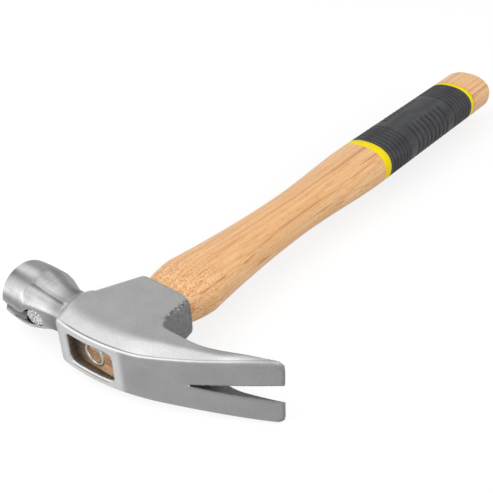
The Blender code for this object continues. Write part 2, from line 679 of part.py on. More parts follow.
def rib_rows():
    """(place along the handle, groove depth, whether it fades on the pads) of the sleeve's rings."""
    rows = [(SLEEVE_START + FIT_GAP, 0.0, False)]
    group = END_RIB_PITCH * (END_RIB_COUNT - 1)
    side = SIDE_RIB_PITCH * (SIDE_RIB_COUNT - 1)
    front = SLEEVE_START + END_RIB_MARGIN
    middle = 0.5 * (SLEEVE_START + SLEEVE_END - side)
    rear = SLEEVE_END - END_RIB_MARGIN - group
    for start, pitch, count, fades in (
        (front, END_RIB_PITCH, END_RIB_COUNT, False),
        (middle, SIDE_RIB_PITCH, SIDE_RIB_COUNT, True),
        (rear, END_RIB_PITCH, END_RIB_COUNT, False),
    ):
        for i in range(2 * count + 1):
            depth = RIB_DEPTH if i % 2 else 0.0
            rows.append((start + pitch * (i - 1) / 2, depth, fades))
    rows.append((SLEEVE_END - FIT_GAP, 0.0, False))
    return rows


def ribbed_ring(y, depth, fades):
    length, width = handle_size(y)
    plain = oval(y, length, width, HANDLE_ROUNDNESS)
    sunk = oval(y, length - depth, width - depth, HANDLE_ROUNDNESS)
    points = []
    for high, low in zip(plain, sunk):
        share = 1.0
        if fades:
            share = ease((abs(high[0]) / length - SIDE_RIB_FROM) / (SIDE_RIB_FULL - SIDE_RIB_FROM))
        points.append(tuple(lerp(a, b, share) for a, b in zip(high, low)))
    return points


def make_sleeve(parts, root):
    sleeve = tube("grip_sleeve", [ribbed_ring(*row) for row in rib_rows()], parts, root)
    return finish_piece(sleeve, make_material("grip_rubber", (0.035, 0.036, 0.038), 0.6, 0.0))


def main():
    clear_scene()
    parts = make_collection("claw_hammer")
    cutters = make_collection("cutters")
    root = bpy.data.objects.new("hammer_frame", None)
    parts.objects.link(root)
    lowest = max(point[2] for x in body_stations() for point in body_section(x))
    root.location = (0.5 * (FACE_REACH - CLAW_REACH), -0.5 * (OVERALL_LENGTH + crest_depth()), lowest)
    make_head(parts, cutters, root)
    make_magnet(parts, root)
    pocket = make_ring_pocket(cutters, root)
    make_handle(parts, cutters, root, pocket)
    make_wooden_wedge(parts, root, pocket)
    make_ring_wedge(parts, root)
    make_bands(parts, root)
    make_sleeve(parts, root)


main()
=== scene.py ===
"""The claw hammer's looks: a fine piece for each CAD node, with materials, studio light and camera.

Metres. Pieces are drawn as the CAD is: the eye's centre at x = 0, a datum just under the head's crown at
y = 0 and the plane of symmetry at z = 0, with +X to the claw, +Y to the butt and +Z up through the
cheek. Each piece is then placed where the frame has its node.
"""

import math

import bmesh
import bpy
import numpy as np
from mathutils import Matrix, Vector, noise


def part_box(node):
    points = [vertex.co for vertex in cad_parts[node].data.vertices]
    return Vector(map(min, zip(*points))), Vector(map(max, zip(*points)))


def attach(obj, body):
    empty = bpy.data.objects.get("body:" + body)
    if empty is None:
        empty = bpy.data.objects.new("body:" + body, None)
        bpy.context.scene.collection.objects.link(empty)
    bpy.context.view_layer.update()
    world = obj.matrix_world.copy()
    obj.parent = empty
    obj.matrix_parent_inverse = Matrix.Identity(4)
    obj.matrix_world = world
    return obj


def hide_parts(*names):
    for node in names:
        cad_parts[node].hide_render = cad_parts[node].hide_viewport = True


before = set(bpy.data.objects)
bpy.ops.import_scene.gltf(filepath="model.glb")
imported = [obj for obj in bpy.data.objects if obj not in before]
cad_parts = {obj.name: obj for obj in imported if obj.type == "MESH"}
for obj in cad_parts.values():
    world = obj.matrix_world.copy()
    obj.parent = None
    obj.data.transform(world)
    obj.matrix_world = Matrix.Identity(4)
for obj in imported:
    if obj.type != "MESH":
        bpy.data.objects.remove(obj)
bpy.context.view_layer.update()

# Overall: reaches are measured along X from the eye's centre, and the head's depths along Y from the datum
OVERALL_LENGTH = 0.330  # datum to the butt
FACE_REACH = 0.0605  # of the striking face
CLAW_REACH = 0.0760  # of the claw tips
FIT_GAP = 0.0003  # clearance between pieces that touch

# Poll: a turned bell on an eight-sided neck
POLL_DEPTH = 0.0150  # of the poll's axis
FACE_RADIUS = 0.0122
RIM_CHAMFER = 0.0014
BELL_RADIUS = 0.01425
BELL_CROWN_REACH = 0.0480  # where the bell is fullest
NECK_SPAN = 0.0102  # centre to corner of the neck where it meets the body
NECK_FLARE = 0.0052  # growth of that span along the cove, to where the flats run out on the bell
NECK_COVE_START = 0.0280
NECK_COVE_END = 0.0465  # where the flats run out
NECK_COVE_POWER = 1.6  # how late the cove turns out
NECK_BACK_RADIUS = 0.0107  # the neck's rounded back, where it meets the body
NECK_BACK_START = 0.0305  # where that back starts to swell into the bell
NECK_BACK_END = 0.0442
NECK_CORNER = math.pi / 8  # from the neck's top line round to its first corner
NECK_BACK_TURNS = [math.radians(turn) for turn in (11.0, 31.0, 51.0, 71.0)]  # corners behind the flats
NECK_ROOT_REACH = 0.0250  # of the body's poll end

# Nail starter: a round-bottomed groove that runs from the face to a magnet, beside the poll's top line
NAIL_LINE_OFFSET = 0.0018  # groove and magnet below the plane of symmetry
GROOVE_RADIUS = 0.0026
GROOVE_DEPTH = 0.0042
MAGNET_RADIUS = 0.0045
MAGNET_THICKNESS = 0.0055
MAGNET_REACH = 0.0408  # of the middle of the magnet's face
MAGNET_DEPTH = 0.0046  # of the middle of its face
MAGNET_TILT = math.radians(14.0)  # of the magnet's axis, square to the neck's sloping flat
MAGNET_HOLE_PLAY = 0.0004  # how much wider the hole is on the side of the groove

# Top of the head: a crown over the eye, a knee and a long claw arc, each tangent to the next
RAMP_START = -0.0182  # the crown starts here, and the top falls from here to the neck
RAMP_DEPTH = 0.0055  # of the top where it meets the neck
CROWN_START_RISE = 0.0003  # above the datum
CROWN_START_SLOPE = math.radians(-6.2)
CROWN_END = 0.019
CROWN_SLOPE = math.radians(14.5)
KNEE_END = 0.031
KNEE_SLOPE = math.radians(25.4)
TIP_SLOPE = math.radians(33.0)

# Underside of the claw and widths of the head, as half widths across the cheeks
UNDERSIDE_DEPTH = 0.0238
UNDERSIDE_FLAT_END = 0.036
UNDERSIDE_FILLET = 0.0045
TIP_THICKNESS = 0.0012
TIP_CORNER = 0.0036
TOP_HALF_WIDTH = 0.0110
ROOT_TOP_HALF_WIDTH = 0.0060  # of the top where it meets the neck
ROOT_HALF_WIDTH = 0.0098
WAIST_REACH = 0.0240  # where the top starts to widen to the claw
CHEEK_HALF_WIDTH = 0.0129
CHEEK_END_REACH = 0.0212  # of the poll end of the flat cheeks
CLAW_HALF_WIDTH = 0.0168
CLAW_TOP_HALF_WIDTH = 0.0153
FLARE_START = 0.0340
FLARE_END = 0.0660
FLARE_BEVEL = 0.80  # share of the claw's flare that the bevel's lower edge takes
BEVEL_HEIGHT = 0.0090
TOP_FILLET = 0.0008  # rounding of the top edge beside the eye
CRISP_EDGE_END = -0.0100  # where that rounding starts to grow towards the knee
KNEE_TOP_FILLET = 0.0010  # where the knee starts
TIP_TOP_FILLET = 0.0007  # and at the claw tips
BEVEL_FILLET = 0.0030
UNDER_FILLET = 0.0014
ROOT_FILLET = 0.0080  # rounding of the lower edges where the body meets the neck

# Skirt: the socket that runs down the handle from the cheeks, narrowing to its end
SKIRT_START = 0.0110
SKIRT_END = 0.0450
SKIRT_END_HALF_WIDTH = 0.0110
SKIRT_RELIEF = 0.00005  # keeps its flat sides just within the cheeks
SKIRT_CLAW_REACH = 0.0186
SKIRT_END_CLAW_REACH = 0.0163
SKIRT_CLAW_CORNER = 0.0020
SKIRT_END_CLAW_CORNER = 0.0065
SKIRT_POLL_CORNER = 0.0080
SKIRT_SWEEP_START = 0.0190
SKIRT_END_POLL_REACH = 0.0157
SKIRT_EDGE = 0.0006

# Nail notch in the claw
NOTCH_ROOT = 0.0442
NOTCH_ROOT_GAP = 0.0010
NOTCH_RUN_OUT = 0.0012  # the cut starts this far before the root, as the skin closes its narrow end
NOTCH_TIP_GAP = 0.0086
NOTCH_EDGE = 0.0003  # chamfer along the notch's upper edges
NOTCH_BEVEL = 0.40  # slope of the walls, out per depth
NOTCH_BEVEL_RUN = 0.0160  # from the root to where they slope in full

# Eye: half sizes and exponents of its superellipse, at the top and at the end of the skirt
EYE_HALF_LENGTH = 0.0126
EYE_HALF_WIDTH = 0.0074
EYE_SQUARENESS = 8.0
EYE_RIM = 0.0007
SOCKET_HALF_LENGTH = 0.0135
SOCKET_HALF_WIDTH = 0.0094
SOCKET_SQUARENESS = 3.0

# Handle: halves are its half length along X and half width along Z
TENON_DEPTH = 0.0030
SHOULDER_Y = 0.0615
SHOULDER_HALVES = (0.0167, 0.0122)
SHOULDER_SWELL = 0.35  # how much sooner it fills out than an even taper
NECK_Y = 0.1350
NECK_HALVES = (0.0120, 0.0107)
GRIP_HALVES = (0.0158, 0.0115)
HANDLE_ROUNDNESS = 2.3
BUTT_LENGTH = 0.0238
BUTT_ROUND = 0.0045

# Wedges in the end of the tenon
RING_RADIUS = 0.0057
RING_WALL = 0.0015
RING_HEIGHT = 0.0090
RING_PROUD = 0.0004
RING_ROUND = 0.0003
WEDGE_TOP_THICKNESS = 0.0032
WEDGE_TIP_THICKNESS = 0.0012
WEDGE_HEIGHT = 0.0280

# Grip: a rubber sleeve between two bands, set into the handle
GRIP_WALL = 0.0017
FRONT_BAND_WIDTH = 0.0064
REAR_BAND_WIDTH = 0.0038
BAND_ROUND = 0.0004
BAND_ROUND_STEPS = (0.0, 0.3, 1.0)  # shares of that rounding's reach
SLEEVE_LENGTH = 0.0938
RIB_DEPTH = 0.0010
END_RIB_PITCH = 0.0034
END_RIB_COUNT = 6
END_RIB_MARGIN = 0.0034
SIDE_RIB_PITCH = 0.0047
SIDE_RIB_COUNT = 8
SIDE_RIB_FROM = 0.35  # share of the way out along X where the side ribs start
SIDE_RIB_FULL = 0.52  # and where they are full
GROOVE_SHARPNESS = 2  # power that narrows the sleeve's grooves and widens its ribs

# Fineness
TURN_STEPS = 128
OVAL_POINTS = 112
CORNER_STEPS = 8
CORE_SIDES = 8
CORNER_LIMIT = 0.45  # share of a side that one corner's rounding may take
CURVE_STEPS = 12
SWEEP_STEPS = 24
BODY_STEPS = 90
NECK_STEPS = 40
BUTT_STEPS = 10
MAGNET_STEPS = 18
RING_SPACING = 0.0020  # between rings along the handle
RIB_SPACING = 0.00034  # between rings along the sleeve
HEAD_VOXEL = 0.0004
HEAD_SMOOTHING = 2

# Rough skin of the forged head and of the magnet
FORGE_LUMPS = 0.00005  # height of the as-forged faces' unevenness
FORGE_LUMP_SIZE = 0.0018
RIDGE_CHIPS = 0.00055  # depth of the chips along the skirt's trimmed corner
RIDGE_CHIP_SIZE = 0.0011
RIDGE_WIDTHS = (0.00054, 0.0018)  # from full to none, out from the chipped line
RIDGE_INSET = 0.25  # of the chipped line, as a share of the corner's reach
CHIP_BIAS = 0.25  # more than 0 chips more than half of the line
CHIP_MEAN = 0.2
CHIP_SWING = 0.9
MAGNET_LUMPS = 0.00022
MAGNET_LUMP_SIZE = 0.0011
MAGNET_ROUND = 0.0002
MAGNET_ROUND_FROM = 0.85  # share of its radius where the rim's rounding starts
MAGNET_HUB = 0.04  # share of its radius where the face's rings start

# Soft steps between the head's finishes: how squarely a point faces a way, as cosines
FACES_TOP = (0.55, 0.85)
FACES_UNDER = (0.35, 0.70)
FACES_SIDE = (0.45, 0.75)
FACES_NOTCH = (0.20, 0.50)
FACES_POLL = (0.50, 0.85)

# Soft steps between the head's finishes: places along X, or depths where it says so
TOP_START = (-0.026, -0.024)
LAND_START = (-0.0235, -0.0130)
LAND_LEAST = 0.15  # share of the land's polish at its poll end
BEVEL_START = (-0.026, -0.018)
BEVEL_EDGE = (0.0002, 0.0009)  # below the top
CLAW_START = (0.0155, 0.0195)
POLL_END = (-0.0275, -0.0245)
FORGED_START = (-0.022, -0.019)
SOCKET_START = (0.014, 0.019)  # below the datum
RIDGE_START = (0.022, 0.026)  # below the datum
NOTCH_WALL = 0.009  # how far the notch's rough wall can reach beyond its upper edge
EYE_SHADE_START = (0.0007, 0.0016)  # below the top, where painted shade on the eye's walls starts
LIP_END = (0.0010, 0.0020)  # below the top
LIP_FAR = 9.0  # added to a point's mm from the eye's mouth past that depth
BELL_START = (0.0475, 0.0485)  # as a reach to the poll
BELL_SKIN = (-0.0005, -0.0001)  # out from the bell's radius
SUNK_SKIN = (-0.0008, -0.0003)  # out from the poll's skin
BELL_RELIEF = 0.0006  # how far the poll's skin may lie within the bell's radius
ZONE_ROUNDS = {"chipped": 0, "below": 0, "lip": 0, "bevel": 2}  # rounds of softening
OTHER_ZONE_ROUNDS = 5
EDGE_ROUNDS = 8  # of softening, that leave the edges standing out
EDGE_BLUR = 2  # rounds of softening after that
EDGE_STEP = (0.10, 0.40)  # of how far they stand out, in voxels
MILLIMETRE = 0.001

# Lengthwise streaks of the poll: partly its finish and partly painted reflections of the studio, with
# painted shade in the dark line between the neck's flats; degrees round from its top line, and tone
BELL_STREAKS_AND_REFLECTIONS = (
    (0, 0.36), (10, 0.36), (16, 0.28), (22, 0.38), (28, 0.66), (36, 0.72), (44, 0.50), (52, 0.28),
    (60, 0.17), (66, 0.15), (71, 0.24), (77, 0.52), (84, 0.62), (89, 0.52), (95, 0.36), (106, 0.27),
    (125, 0.22), (180, 0.34),
)
NECK_STREAKS_AND_REFLECTIONS = (
    (0, 0.34), (22, 0.34), (28, 0.52), (40, 0.43), (57, 0.38), (61, 0.17), (66, 0.12), (69, 0.50),
    (77, 0.59), (88, 0.45), (104, 0.42), (110, 0.26), (150, 0.28), (180, 0.34),
)
FACE_TONE = 0.42
NECK_ROOT_SHADE = 0.6  # share of the neck's tone by the body, as painted shade
NECK_SHADE_END = (0.028, 0.036)  # as a reach to the poll

# The pale bevel under the top edge: place along X, how deep it reaches, and how softly it ends
BEVEL_PLACES = (0.000, 0.014, 0.028, 0.038, 0.048, 0.054, 0.060, 0.071)
BEVEL_REACHES = (0.0084, 0.0089, 0.0098, 0.0085, 0.0056, 0.0036, 0.0023, 0.0012)
BEVEL_SOFTNESS = (0.0040, 0.0028, 0.0016, 0.0013, 0.0011, 0.0010, 0.0008, 0.0005)

# The head's finishes: tones as linear grey, roughness, and the places along X where they change
SATIN_TONES = (0.37, 0.29)  # of the cheeks, by the eye and at the claw tips
SATIN_CHANGE = (0.040, 0.056)
LAND_TONE = 0.58
BEVEL_TONES = (0.53, 0.65)  # by the eye and at the knee
BEVEL_CHANGE = (0.004, 0.030)
BEVEL_TIP_SHARE = 0.84
BEVEL_TIP_CHANGE = (0.044, 0.053)
# Tones of other finishes: the ground claw top; the as-forged faces, darker also as painted shade on the
# underside and the skirt's sides; and painted shade in the nail groove, the magnet's hole and the notch
ZONE_TONES_AND_PAINTED_SHADES = {"ground": 0.315, "forged": 0.18, "shaded_hollow": 0.12}
CHIP_SHADE = (0.09, 0.85, (0.36, 0.60))  # painted shade in the chips: tone, most share of it, and how chipped that starts and is full
BARE = (0.50, 0.70, (-0.02, -0.20))  # the same, between the chips
# Painted shade along a crease under the top edge: its tone, depth, widths, share, start, fade and what is
# left past the fade
CREASE_SHADE_TONE = 0.12
CREASE_DEPTH = 1.35  # mm below the top
CREASE_WIDTHS = (0.10, 0.45)  # mm, from full to none
CREASE_SHARE = 0.85
CREASE_START = (-0.018, -0.010)
CREASE_FADE = (0.012, 0.036)
CREASE_TIP_SHARE = 0.5  # what is left of it past there
WEAR_AND_HIGHLIGHT_TONE = 0.08  # added along sharp edges, as wear and painted highlight
RIM_LINE_PLACE = 0.15  # mm out from the eye's mouth
RIM_LINE_WIDTHS = (0.22, 0.06)  # mm, from none to full
RIM_LINE_SHARE = 0.85
RIM_LINE_END = (0.0095, 0.0110)  # along X to either side
SATIN_ROUGHNESS = 0.42
ZONE_ROUGHNESS = {"land": 0.38, "bevel": 0.54, "turned": 0.44, "ground": 0.42, "forged": 0.60}
GRAIN_ROUGHNESS = (-0.05, 0.05)
SATIN_BUMPS = 0.20  # height of the grain as a share of the forged faces' grain
POLISHED_BUMPS = 0.05

# Grain of the head's finishes: noise per metre, detail and roughness, and how much it sways their tone
SATIN_GRAIN = (1500.0, 5.0, 0.6)
ZONE_GRAINS = {
    "turned": ((2400.0, 90.0, 90.0), 3.0, 0.6),
    "ground": ((60.0, 2600.0, 2600.0), 3.0, 0.6),
    "forged": (750.0, 6.0, 0.7),
}
SATIN_SWAY = (0.90, 1.10)
ZONE_SWAYS = {"turned": (0.86, 1.14), "forged": (0.62, 1.38)}
CLOUD_SWAY = (0.94, 1.06)
STREAK_SWAY = (0.85, 1.15)
CLOUD_GRAIN = (90.0, 3.0, 0.5)
STREAK_GRAIN = ((26.0, 230.0, 230.0), 2.0, 0.5)  # along the poll
STREAK_RANGE = (0.34, 0.64)  # that most of that noise lies in
EYE_SHADE_GRAIN = ((700.0, 60.0, 700.0), 3.0, 0.6)
EYE_SHADE_STEP = (0.35, 0.65)  # of that noise, from the first painted shade to the second

# Colours, as screen values of 0 to 255
# Painted shade on the eye's walls, brown as a painted reflection of the wood
EYE_WALL_SHADES = ((64, 52, 43), (100, 82, 66))
EYE_RIM_LINE = (84, 60, 48)
MAGNET_TONES = ((58, 58, 58), (240, 240, 240))
RING_TONES = ((178, 183, 180), (128, 108, 90))
WOOD_RINGS = ((247, 201, 145), (228, 168, 107))
WOOD_PATCH = (232, 176, 120)
WOOD_FIBRE = (204, 144, 88)
WOOD_PORE = (182, 122, 70)
WOOD_LINE = (194, 126, 66)
WOOD_STREAK = (166, 100, 50)
SHOULDER_SPECK = (198, 118, 54)
SHOULDER_FLECK = (252, 220, 180)
END_TONES = ((190, 146, 108), (232, 184, 140))
END_PORE = (140, 102, 74)
WEDGE_TONES = ((214, 166, 124), (150, 112, 82))
# Painted shade on the end grain in the eye, darkest by its poll-side wall
END_PAINTED_SHADE = (58, 46, 36)
RUBBER_TONES = ((40, 41, 44), (62, 63, 66))
# Painted shade in the sleeve's grooves
RUBBER_GROOVE_SHADE = (14, 14, 15)
RUBBER_DUST = (120, 121, 122)
BAND_TONES = ((240, 214, 0), (250, 228, 8))

# Where the wood changes, and its end grain
SHOULDER_END = (0.050, 0.078)  # along Y, where its specks fade out
END_GRAIN_END = (TENON_DEPTH + 0.0006, TENON_DEPTH + 0.0016)  # along Y
END_SHADE_STEP = (-0.0005, -0.0095)  # along X, from none to full painted shade towards the poll's side of the eye
END_SHADE_SHARE = 0.95
STREAK_SIDE = (-0.002, 0.006)  # along X, where the dark streaks grow strong
STREAK_LEAST = 0.20
END_GRAIN = (900.0, 4.0, 0.6)  # noise per metre, detail and roughness
WEDGE_END_SHARE = 0.8  # of end grain in the wedge's colour

# Camera at the photograph's viewing angle
CAMERA_PLACE = (0.2189, -0.1517, 0.2286)  # in the drawing
CAMERA_AZIMUTH = math.radians(40.89)
CAMERA_ELEVATION = math.radians(34.38)
CAMERA_ROLL = math.radians(-2.28)
CAMERA_LENS = 61.08  # mm, before the usual sensor of 36 mm
CAMERA_CLIP = 0.01

# Studio
LAMPS = {  # place, the point that it shines at, side of its square, and power
    "key": ((-0.60, -0.65, 0.95), (0.0, -0.05, 0.0), 1.25, 8.0),
    "fill": ((0.95, -0.30, 0.45), (0.0, 0.0, 0.0), 0.80, 6.0),
}
WORLD_LIGHT = 0.55
FLOOR_HALF_SIZE = 3.0
FLOOR_DROP = 0.0002  # below the hammer
FLOOR_COLOUR = (0.24, 0.24, 0.24, 1.0)
FLOOR_GLOWS = (0.79, 0.90)  # light of its own, near the hammer and far off
FLOOR_GLOW_CHANGE = (0.4, 1.6)  # from the middle
NOISE_RANGE = (0.3, 0.7)  # that most of a noise lies in

# Places that follow from the sizes above
REAR_BAND_END = OVERALL_LENGTH - BUTT_LENGTH
SLEEVE_END = REAR_BAND_END - REAR_BAND_WIDTH
SLEEVE_START = SLEEVE_END - SLEEVE_LENGTH
FRONT_BAND_START = SLEEVE_START - FRONT_BAND_WIDTH
CHEEK_TAPER = (CHEEK_HALF_WIDTH - SKIRT_END_HALF_WIDTH) / (SKIRT_END - BEVEL_HEIGHT)


# Shapes


def drawing_place():
    """Where the drawing's origin lies in the frame, found from the handle's box."""
    low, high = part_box("handle")
    return Vector((0.5 * (low[0] + high[0]), high[1] - OVERALL_LENGTH, 0.5 * (low[2] + high[2])))


PLACE = drawing_place()


def link_object(name, data):
    obj = bpy.data.objects.new(name, data)
    bpy.context.scene.collection.objects.link(obj)
    return obj


def add_object(name, mesh):
    """A mesh of the drawing, placed in the frame."""
    obj = link_object(name, mesh)
    obj.location = PLACE
    return obj


def loft(name, rings, closed=False):
    """A skin over rings of equal count: capped at both ends, or joined last to first where closed."""
    count = len(rings[0])
    points = [point for ring in rings for point in ring]
    pairs = [(i, i + 1) for i in range(len(rings) - 1)]
    if closed:
        pairs.append((len(rings) - 1, 0))
    faces = []
    for low, high in pairs:
        for i in range(count):
            j = (i + 1) % count
            faces.append((low * count + i, low * count + j, high * count + j, high * count + i))
    if not closed:
        faces.append(tuple(range(count)))
        faces.append(tuple(range(len(points) - count, len(points))))
    mesh = bpy.data.meshes.new(name)
    mesh.from_pydata(points, [], faces)
    shape = bmesh.new()
    shape.from_mesh(mesh)
    bmesh.ops.recalc_face_normals(shape, faces=shape.faces)
    shape.to_mesh(mesh)
    shape.free()
    return mesh


def circle(radius):
    angles = [2.0 * math.pi * i / TURN_STEPS for i in range(TURN_STEPS)]
    return [(radius * math.cos(angle), radius * math.sin(angle)) for angle in angles]


def turned(name, profile, axis):
    """A closed profile of (radius, height) points turned about +Z, then laid along an axis matrix."""
    rings = [[(radius * x, radius * y, height) for radius, height in profile] for x, y in circle(1.0)]
    mesh = loft(name, rings, closed=True)
    mesh.transform(axis)
    return mesh


def cut(target, mesh, operation):
    """Joins a mesh to the target or takes it away, as the operation says."""
    tool = add_object(mesh.name, mesh)
    modifier = target.modifiers.new(mesh.name, "BOOLEAN")
    modifier.operation = operation
    modifier.object = tool
    modifier.solver = "EXACT"
    settle(target)
    bpy.data.objects.remove(tool)


def settle(obj):
    """Gives an object the mesh that its modifiers make, and takes them off."""
    graph = bpy.context.evaluated_depsgraph_get()
    mesh = bpy.data.meshes.new_from_object(obj.evaluated_get(graph))
    obj.modifiers.clear()
    obj.data = mesh


def finish_piece(obj, node, material, sharp=None):
    """Shades a piece, sharp along edges past an angle in degrees, and has it stand for a CAD node."""
    obj.data.materials.clear()
    obj.data.materials.append(material)
    obj.data.shade_smooth()
    if sharp:
        obj.data.set_sharp_from_angle(angle=math.radians(sharp))
    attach(obj, "root")
    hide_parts(node)


def lerp(start, end, share):
    return start + (end - start) * share


def portion(value, start, end):
    """How much of the way from start to end a value has gone."""
    return (value - start) / (end - start)


def ease(share):
    share = min(max(share, 0.0), 1.0)
    return share * share * (3.0 - 2.0 * share)


def mirrored(half):
    """An outline of (width, depth) points, from its half on one side."""
    return half + [(-width, depth) for width, depth in reversed(half)]


def arc_rise(start_slope, end_slope, run, distance):
    """Rise at a distance along an arc that turns from one slope angle to another over a run."""
    turn = math.sin(end_slope) - math.sin(start_slope)
    radius = run / turn
    slope = math.asin(math.sin(start_slope) + distance / radius)
    return radius * (math.cos(start_slope) - math.cos(slope))


def towards(start, end, distance):
    """The point a distance from start on the way to end, at most a little short of half way."""
    length = math.hypot(end[0] - start[0], end[1] - start[1])
    share = min(distance / length, CORNER_LIMIT)
    return lerp(start[0], end[0], share), lerp(start[1], end[1], share)


def rounded_outline(corners, reaches):
    """A flat outline whose corners are rounded, each between the points a reach before and after it."""
    points = []
    for i, corner in enumerate(corners):
        first = towards(corner, corners[i - 1], reaches[i])
        last = towards(corner, corners[(i + 1) % len(corners)], reaches[i])
        for step in range(CORNER_STEPS + 1):
            t = step / CORNER_STEPS
            x = lerp(lerp(first[0], corner[0], t), lerp(corner[0], last[0], t), t)
            y = lerp(lerp(first[1], corner[1], t), lerp(corner[1], last[1], t), t)
            points.append((x, y))
    return points


def oval(y, half_length, half_width, exponent):
    """A superellipse across the handle's axis, at one place along it."""
    points = []
    for i in range(OVAL_POINTS):
        angle = 2.0 * math.pi * i / OVAL_POINTS
        x = math.copysign(abs(math.cos(angle)) ** (2.0 / exponent), math.cos(angle))
        z = math.copysign(abs(math.sin(angle)) ** (2.0 / exponent), math.sin(angle))
        points.append((half_length * x, y, half_width * z))
    return points


def rectangle(half_length, half_width):
    halves = ((-1.0, -1.0), (1.0, -1.0), (1.0, 1.0), (-1.0, 1.0))
    return [(half_length * along, half_width * across) for along, across in halves]


def spread(start, end, count):
    return [lerp(start, end, i / count) for i in range(count + 1)]


def spaced(start, end, spacing):
    return spread(start, end, max(1, round((end - start) / spacing)))


# Head


def top_depth(x):
    """How far the top of the head lies below the datum, less than 0 on the crown."""
    if x < RAMP_START:
        return lerp(-CROWN_START_RISE, RAMP_DEPTH, portion(x, RAMP_START, -NECK_ROOT_REACH))
    depth = -CROWN_START_RISE
    start = RAMP_START
    slope = CROWN_START_SLOPE
    for end, end_slope in ((CROWN_END, CROWN_SLOPE), (KNEE_END, KNEE_SLOPE), (CLAW_REACH, TIP_SLOPE)):
        if x > start:
            depth += arc_rise(slope, end_slope, end - start, min(x, end) - start)
        start = end
        slope = end_slope
    return depth


def under_depth(x):
    """Depth of the underside: filleted to the skirt, flat, then one arc to the tip's thickness."""
    run = CLAW_REACH - UNDERSIDE_FLAT_END
    drop = top_depth(CLAW_REACH) + TIP_THICKNESS - UNDERSIDE_DEPTH
    radius = (run * run + drop * drop) / (2.0 * drop)
    distance = max(x - UNDERSIDE_FLAT_END, 0.0)
    depth = UNDERSIDE_DEPTH + radius - math.sqrt(radius * radius - distance * distance)
    inward = min(max(SKIRT_CLAW_REACH + UNDERSIDE_FILLET - x, 0.0), UNDERSIDE_FILLET)
    fillet = UNDERSIDE_FILLET - math.sqrt(UNDERSIDE_FILLET**2 - inward**2)
    return depth + fillet * min(max(x / SKIRT_CLAW_REACH, 0.0), 1.0)


def tip_inset(x):
    """How much the rounded corners of the claw take off its half width."""
    distance = max(x - CLAW_REACH + TIP_CORNER, 0.0)
    return TIP_CORNER - math.sqrt(max(TIP_CORNER**2 - distance**2, 0.0))


def top_half_width(x):
    """Half width of the top: even over the eye, narrowing to the neck and widening to the claw tips."""
    width = TOP_HALF_WIDTH
    if x < RAMP_START:
        width = lerp(width, ROOT_TOP_HALF_WIDTH, portion(x, RAMP_START, -NECK_ROOT_REACH))
    elif x > WAIST_REACH:
        width = lerp(width, CLAW_TOP_HALF_WIDTH, portion(x, WAIST_REACH, CLAW_REACH))
    return width - tip_inset(x)


def cheek_half_width(x, y):
    """Half width of the tapering cheeks, drawn in towards the neck at the poll end."""
    width = CHEEK_HALF_WIDTH - CHEEK_TAPER * (y - BEVEL_HEIGHT)
    if x < -CHEEK_END_REACH:
        width = lerp(width, ROOT_HALF_WIDTH, portion(x, -CHEEK_END_REACH, -NECK_ROOT_REACH))
    return width


def top_fillet(x):
    """Reach of the rounding along the top edge: crisp beside the eye, and fullest where the knee starts."""
    if x < CROWN_END:
        return lerp(TOP_FILLET, KNEE_TOP_FILLET, ease(portion(x, CRISP_EDGE_END, CROWN_END)))
    return lerp(KNEE_TOP_FILLET, TIP_TOP_FILLET, ease(portion(x, CROWN_END, FLARE_END)))


def body_section(x):
    """The head's outline across X: top, sloping bevel, cheek and underside, with rounded edges."""
    top = top_depth(x)
    under = under_depth(x)
    bevel = top + min(BEVEL_HEIGHT, 0.5 * (under - top))
    flare = ease(portion(x, FLARE_START, FLARE_END))
    edge = top_half_width(x)
    ridge = lerp(cheek_half_width(x, bevel), CLAW_HALF_WIDTH, FLARE_BEVEL * flare) - tip_inset(x)
    base = lerp(cheek_half_width(x, under), CLAW_HALF_WIDTH, flare) - tip_inset(x)
    corners = mirrored([(edge, top), (ridge, bevel), (base, under)])
    share = min(max(portion(x, SKIRT_CLAW_REACH, FLARE_START), 0.0), 1.0)
    lower = lerp(SKIRT_CLAW_CORNER, UNDER_FILLET, share)
    lower = lerp(lower, ROOT_FILLET, ease(portion(x, RAMP_START, -NECK_ROOT_REACH)))
    fillets = [top_fillet(x), BEVEL_FILLET, lower]
    return [(x, y, z) for z, y in rounded_outline(corners, fillets + fillets[::-1])]


def body_mesh():
    stations = spread(-NECK_ROOT_REACH, CLAW_REACH - TIP_CORNER, BODY_STEPS)
    turns = spread(0.0, 0.5 * math.pi, CORNER_STEPS)[1:]
    stations += [CLAW_REACH - TIP_CORNER * (1.0 - math.sin(turn)) for turn in turns]
    return loft("body", [body_section(x) for x in stations])


def neck_span(reach):
    """Centre to corner of the eight-sided neck: even by the body, then a cove that flares to the bell."""
    share = max(portion(reach, NECK_COVE_START, NECK_COVE_END), 0.0)
    return NECK_SPAN + NECK_FLARE * share**NECK_COVE_POWER


def neck_ring(reach):
    """The neck across X: five flats over its top and sides, and a fuller, rounded back."""
    span = neck_span(reach)
    flat = span * math.cos(NECK_CORNER)
    full = BELL_RADIUS / math.cos(0.5 * (NECK_BACK_TURNS[1] - NECK_BACK_TURNS[0]))
    back = lerp(NECK_BACK_RADIUS, full, ease(portion(reach, NECK_BACK_START, NECK_BACK_END)))
    corners = [(NECK_CORNER, span), (3.0 * NECK_CORNER, span)]
    for turn in NECK_BACK_TURNS:
        corners.append((0.5 * math.pi + turn, min(back, flat / math.cos(turn))))
    ring = corners + [(math.pi, back)] + [(-angle, radius) for angle, radius in reversed(corners)]
    return [(-reach, POLL_DEPTH - r * math.cos(a), r * math.sin(a)) for a, r in ring]


